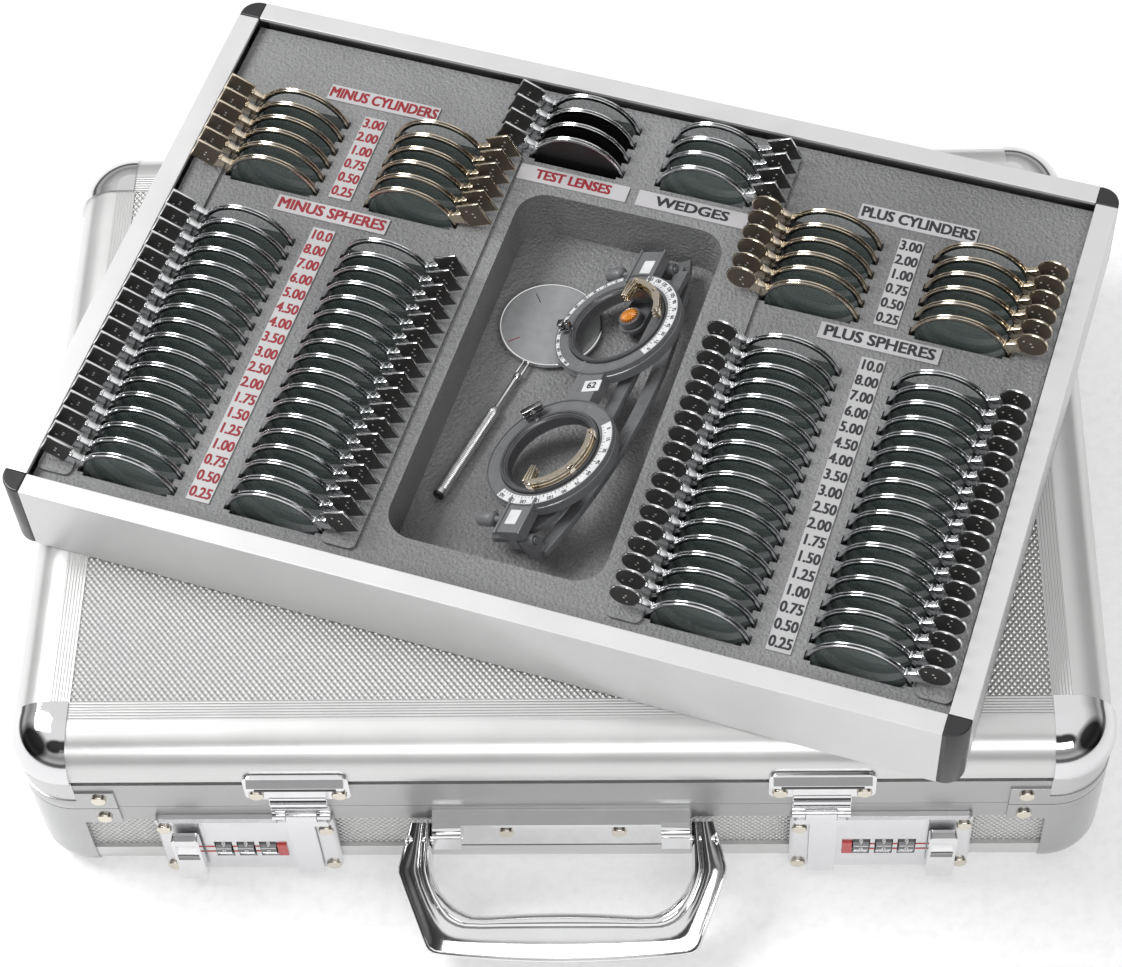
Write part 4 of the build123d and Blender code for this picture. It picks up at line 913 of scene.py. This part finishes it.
# ------------------------------------------------------------------- handle
# Matching points on the handle's outer and inner outline, from a pivot to the middle.
HANDLE_PAIRS = (
    (54, 6, 46, 6), (55.4, 1, 46, 1), (57.1, -5.2, 46, -5), (58.3, -9.6, 46, -8.6),
    (58.5, -11.6, 45.9, -11), (56.1, -18.4, 45.2, -14.6), (52.8, -27.2, 43.4, -18.6),
    (50, -34.8, 41, -21.6), (48.7, -38.2, 38.6, -23.8), (47.9, -39.4, 36.6, -25.1),
    (46.4, -40.3, 34, -26.4), (43.4, -40.8, 31.6, -27.2), (36, -41.6, 26, -27.3),
    (28, -42.3, 20, -26.9), (20, -42.9, 14, -26.6), (10, -43.3, 7, -26.4), (0, -43.5, 0, -26.3),
)
# Section from the outer edge (0) to the inner edge (1): a thin lip, a crown, a groove and a bead.
HANDLE_SECTION = (
    (0.0, -3.4), (0.0, 1.5), (0.02, 2.5), (0.05, 3.0), (0.085, 3.0), (0.11, 2.6), (0.16, 2.7),
    (0.35, 3.25), (0.52, 3.2), (0.63, 2.7), (0.68, 2.2), (0.715, 2.2), (0.75, 2.9), (0.80, 3.7),
    (0.85, 4.0), (0.91, 3.7), (0.96, 2.8), (0.985, 1.8), (1.0, 0.6), (1.0, -3.2), (0.95, -4.0),
    (0.05, -4.0),
)
DROOP = math.radians(30.0)
PIVOT_Y, PIVOT_Z = -143.6, 33.0
SIDE_ROLL = 1.5            # how far the crown rolls off towards the outer edge of both arms
GRIP_FRAME = Matrix.Translation((0, PIVOT_Y, PIVOT_Z)) @ Matrix.Rotation(DROOP, 4, "X")
pairs = [tuple(map(float, pair)) for pair in HANDLE_PAIRS]
pairs += [(-a, b, -c, d) for a, b, c, d in pairs[-2::-1]]
grip_body = bmesh.new()
sections = []
for ox, oy, ix, iy in pairs:
    roll = min(max((abs(ix) - 30.0) / 12.0, 0.0), 1.0)
    sections.append([
        grip_body.verts.new((
            ox + (ix - ox) * s, oy + (iy - oy) * s, z - (roll * (1 - s) * SIDE_ROLL if z > 0 else 0.0)
        ))
        for s, z in HANDLE_SECTION
    ])
for here, there in zip(sections, sections[1:]):
    for m in range(len(HANDLE_SECTION)):
        k = (m + 1) % len(HANDLE_SECTION)
        grip_body.faces.new((here[m], there[m], there[k], here[k]))
grip_body.faces.new(sections[0])
grip_body.faces.new(sections[-1][::-1])
bmesh.ops.recalc_face_normals(grip_body, faces=grip_body.faces)
grip_mesh = bmesh.new()
merge(grip_mesh, grip_body, GRIP_FRAME)
for side in SIDES:
    boss = Matrix.Translation((side * 55.0, PIVOT_Y, PIVOT_Z)) @ Matrix.Rotation(math.pi / 2, 4, "Y")
    merge(grip_mesh, disc_mesh(2.6, 1.0, 32, 0.3), boss)
piece = finish_mesh("carry_handle", grip_mesh, M["handle"], "handle", smooth=True)
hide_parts("handle")

# Ribbed fronts of the latches, and dark strips of painted shade along each bracket's ridge and between the
# ribs.
LATCH_X = 91.4
RIB_HALF = 10.2
ribs, painted_shade_strips = bmesh.new(), bmesh.new()
for side in SIDES:
    for z, r in ((58.6, 1.5), (54.6, 2.0), (51.2, 1.1)):
        profile = [
            (0.001, -RIB_HALF), (r - 0.3, -RIB_HALF), (r, 0.3 - RIB_HALF),
            (r, RIB_HALF - 0.3), (r - 0.3, RIB_HALF), (0.001, RIB_HALF),
        ]
        bar = Matrix.Translation((side * LATCH_X, -139.4, z)) @ Matrix.Rotation(math.pi / 2, 4, "Y")
        merge(ribs, lathe(profile, 28, closed=False), bar)
    # Black strips: painted shade on the ridge's front face and between the ribs.
    merge(painted_shade_strips, box_mesh((28.6, 0.3, 1.2), (side * LATCH_X, -140.65, 65.3), 0.1), WORLD)
    for z in (56.75, 52.4):
        merge(painted_shade_strips, box_mesh((19.8, 0.9, 1.0), (side * LATCH_X, -140.4, z), 0.1), WORLD)
finish_mesh("latch_ribs", ribs, M["chrome"], "lid", smooth=True)
finish_mesh("latch_painted_shade", painted_shade_strips, M["black"], "lid")

# -------------------------------------------------------------------- locks
DIAL_X = (106.3, 114.4, 122.5)
DIAL_Y, DIAL_Z, DIAL_R = -135.8, 19.5, 5.6
DIGITS = 10
DIGIT_STEP = math.radians(360 / DIGITS)
PLATE_FRONT = -140.3
lines = bmesh.new()
for side in SIDES:
    name = SIDE_NAMES[side]
    for start, end in ((109.5, 111.2), (117.6, 119.3), (125.7, 129.4)):
        for z in (-1.9, 1.9):
            at = (side * (start + end) / 2, PLATE_FRONT - 0.05, DIAL_Z + z)
            merge(lines, box_mesh((end - start, 0.3, 0.7), at, 0.08), WORLD)
    for number, x in enumerate(DIAL_X, start=1):
        digits, rims = bmesh.new(), bmesh.new()
        axle = Matrix.Translation((side * x, DIAL_Y, DIAL_Z))
        for n in range(DIGITS):
            turn = axle @ Matrix.Rotation(DIGIT_STEP * n, 4, "X")
            front = turn @ Matrix.Translation((0, -DIAL_R - 0.02, 0))
            facing = front @ Matrix.Rotation(math.pi / 2, 4, "X")
            add_text(digits, str(n), 3.0, facing, 0.09, 0.9, 0.04)
            ridge = box_mesh((5.2, 0.35, 0.45), (0, -DIAL_R + 0.02, 0), 0.1)
            merge(rims, ridge, turn @ Matrix.Rotation(DIGIT_STEP / 2, 4, "X"))
        body = f"{name}_dial_{number}"
        finish_mesh(f"{body}_digits", digits, M["mark"], body)
        finish_mesh(f"{body}_ridges", rims, M["chrome"], body)
finish_mesh("lock_lines", lines, M["red"], "base")

# Slanted dashes in the channel between the lid's two rails, near-black as painted shade.
BEAD_PITCH = 2.2
BEAD_SLANT = 0.5           # radians
BEAD_Z = 64.3
PANEL_HALF = (190.4, 135.4)
bead = bmesh.new()
dash = box_mesh((1.5, 0.5, 0.7), (0, 0, 0), 0.15, 1)
for sign in SIDES:
    for n in range(-77, 78):
        at = Matrix.Translation((n * BEAD_PITCH, sign * PANEL_HALF[1], BEAD_Z))
        merge(bead, dash, at @ Matrix.Rotation(-BEAD_SLANT * sign, 4, "Y"), free=False)
    for n in range(-51, 52):
        at = Matrix.Translation((sign * PANEL_HALF[0], n * BEAD_PITCH, BEAD_Z))
        turn = at @ Matrix.Rotation(math.pi / 2, 4, "Z")
        merge(bead, dash, turn @ Matrix.Rotation(BEAD_SLANT, 4, "Y"), free=False)
dash.free()
finish_mesh("lid_bead", bead, M["shadow"], "lid")

# ------------------------------------------------------------ egg-crate foam
FOAM_HALF = (177.6, 121.6)
FOAM_Z = (64.4, 75.8)
FOAM_CORNER = 12.0
EGG_PITCH = 25.4
EGG_RISE = 3.4
FOAM_RIM = 10.0            # width over which the waves fade out towards the edge
COLUMNS, ROWS = 132, 92
foam = bmesh.new()
layers = []                # the waved face, then the flat back, as rows of vertices
for layer in (0, 1):
    rows = []
    for j in range(ROWS + 1):
        row = []
        for i in range(COLUMNS + 1):
            x = FOAM_HALF[0] * (2 * i / COLUMNS - 1)
            y = FOAM_HALF[1] * (2 * j / ROWS - 1)
            dx, dy = abs(x) - FOAM_HALF[0] + FOAM_CORNER, abs(y) - FOAM_HALF[1] + FOAM_CORNER
            if dx > 0 and dy > 0:
                k = max(dx, dy) / math.hypot(dx, dy)
                x = math.copysign(FOAM_HALF[0] - FOAM_CORNER + dx * k, x)
                y = math.copysign(FOAM_HALF[1] - FOAM_CORNER + dy * k, y)
            z = FOAM_Z[1]
            if layer == 0:
                wave = math.sin(2 * math.pi * x / EGG_PITCH) * math.sin(2 * math.pi * y / EGG_PITCH)
                rim = min(1.0, (FOAM_HALF[0] - abs(x)) / FOAM_RIM, (FOAM_HALF[1] - abs(y)) / FOAM_RIM)
                z = FOAM_Z[0] + 3.6 + EGG_RISE * wave * max(rim, 0.0) + 1.5 * (1 - rim)
            row.append(foam.verts.new((x, y, z)))
        rows.append(row)
    layers.append(rows)
for layer, rows in enumerate(layers):
    for j in range(ROWS):
        for i in range(COLUMNS):
            quad = [rows[j][i], rows[j][i + 1], rows[j + 1][i + 1], rows[j + 1][i]]
            foam.faces.new(quad if layer else quad[::-1])
edge = [(0, i) for i in range(COLUMNS)] + [(j, COLUMNS) for j in range(ROWS)]
edge += [(ROWS, i) for i in range(COLUMNS, 0, -1)] + [(j, 0) for j in range(ROWS, 0, -1)]
for (j, i), (m, k) in zip(edge, edge[1:] + edge[:1]):
    foam.faces.new((layers[0][j][i], layers[0][m][k], layers[1][m][k], layers[1][j][i]))
piece = finish_mesh("lid_foam", foam, M["foam"], "lid", smooth=True)
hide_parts("lid_lining")

# ---------------------------------------------------------------- stage
floor_mesh = bpy.data.meshes.new("floor")
floor_bm = bmesh.new()
bmesh.ops.create_grid(floor_bm, x_segments=8, y_segments=8, size=4.0)
floor_bm.to_mesh(floor_mesh)
floor_bm.free()
floor = bpy.data.objects.new("floor", floor_mesh)
bpy.context.scene.collection.objects.link(floor)
floor.location = (0, 0, cad_box[0][2] - 0.0001)
floor_look = plain_material("floor", (0.62, 0.62, 0.62), 0.7, grain=0.0)
floor_shader = floor_look.node_tree.nodes["Principled BSDF"]
floor_shader.inputs["Emission Color"].default_value = rgb(1, 1, 1)
floor_shader.inputs["Emission Strength"].default_value = 0.40
floor_mesh.materials.append(floor_look)


def area_light(name, place, aim, size, energy):
    """A rectangular lamp aimed at a point."""
    data = bpy.data.lights.new(name, "AREA")
    data.shape = "RECTANGLE"
    data.size = size[0]
    data.size_y = size[1]
    data.energy = energy
    lamp = bpy.data.objects.new(name, data)
    lamp.location = place
    lamp.rotation_euler = (Vector(aim) - Vector(place)).to_track_quat("-Z", "Y").to_euler()
    bpy.context.scene.collection.objects.link(lamp)


AIM = (0, 0, 0.05)
area_light("key", (-1.05, 0.26, 1.4), AIM, (0.8, 0.7), 25)
area_light("fill", (0.2, -1.3, 1.1), AIM, (1.4, 0.4), 9)

world = bpy.data.worlds.new("studio")
world.use_nodes = True
bpy.context.scene.world = world
wt = world.node_tree
back = wt.nodes["Background"]
direction = wt.nodes.new("ShaderNodeTexCoord")
parts = wt.nodes.new("ShaderNodeSeparateXYZ")
wt.links.new(direction.outputs["Generated"], parts.inputs[0])
# Grey of the surroundings against the upward part of the direction.
SKY_ENDS = (0.22, 1.0)
SKY = ((0.10, 0.10), (0.22, 0.55), (0.40, 0.30), (0.60, 0.55), (0.80, 0.95))
ramp = wt.nodes.new("ShaderNodeValToRGB")
for element, position, value in zip(ramp.color_ramp.elements, (0.0, 1.0), SKY_ENDS):
    element.position = position
    element.color = rgb(value, value, value)
for position, value in SKY:
    ramp.color_ramp.elements.new(position).color = rgb(value, value, value)
wt.links.new(parts.outputs["Z"], ramp.inputs[0])
# Dark flags high in front and at both sides, so that plated parts have something dark to reflect:
# the way to each, and the cosines of its edge and its core.
level_out = ramp.outputs[0]
FLAG_SHADE = 0.06
FLAGS = (
    ((-0.34, -0.57, 0.77), 0.950, 0.976),
    ((0.27, -0.57, 0.79), 0.950, 0.976),
    ((-0.88, -0.30, 0.40), 0.840, 0.930),
    ((0.88, -0.30, 0.40), 0.840, 0.930),
)
for aim, edge, core in FLAGS:
    flag = wt.nodes.new("ShaderNodeVectorMath")
    flag.operation = "DOT_PRODUCT"
    flag.inputs[1].default_value = Vector(aim).normalized()
    wt.links.new(direction.outputs["Generated"], flag.inputs[0])
    fade = wt.nodes.new("ShaderNodeMapRange")
    fade.inputs[1].default_value = edge
    fade.inputs[2].default_value = core
    fade.inputs[3].default_value = 1.0
    fade.inputs[4].default_value = FLAG_SHADE
    wt.links.new(flag.outputs["Value"], fade.inputs[0])
    shade = wt.nodes.new("ShaderNodeVectorMath")
    shade.operation = "SCALE"
    wt.links.new(level_out, shade.inputs[0])
    wt.links.new(fade.outputs[0], shade.inputs["Scale"])
    level_out = shade.outputs[0]
wt.links.new(level_out, back.inputs[0])
back.inputs[1].default_value = 1.0

# --------------------------------------------------------------- camera
camera_data = bpy.data.cameras.new("camera")
camera = bpy.data.objects.new("camera", camera_data)
bpy.context.scene.collection.objects.link(camera)
camera.location = (0.0478, -0.5934, 0.9461)
camera.rotation_euler = [math.radians(a) for a in (33.362, 2.437, 0.933)]
camera_data.lens = 91.5
camera_data.sensor_width = 36
camera_data.shift_x = -0.0048
camera_data.shift_y = -0.0009
bpy.context.scene.camera = camera
bpy.context.scene.view_settings.view_transform = "Standard"
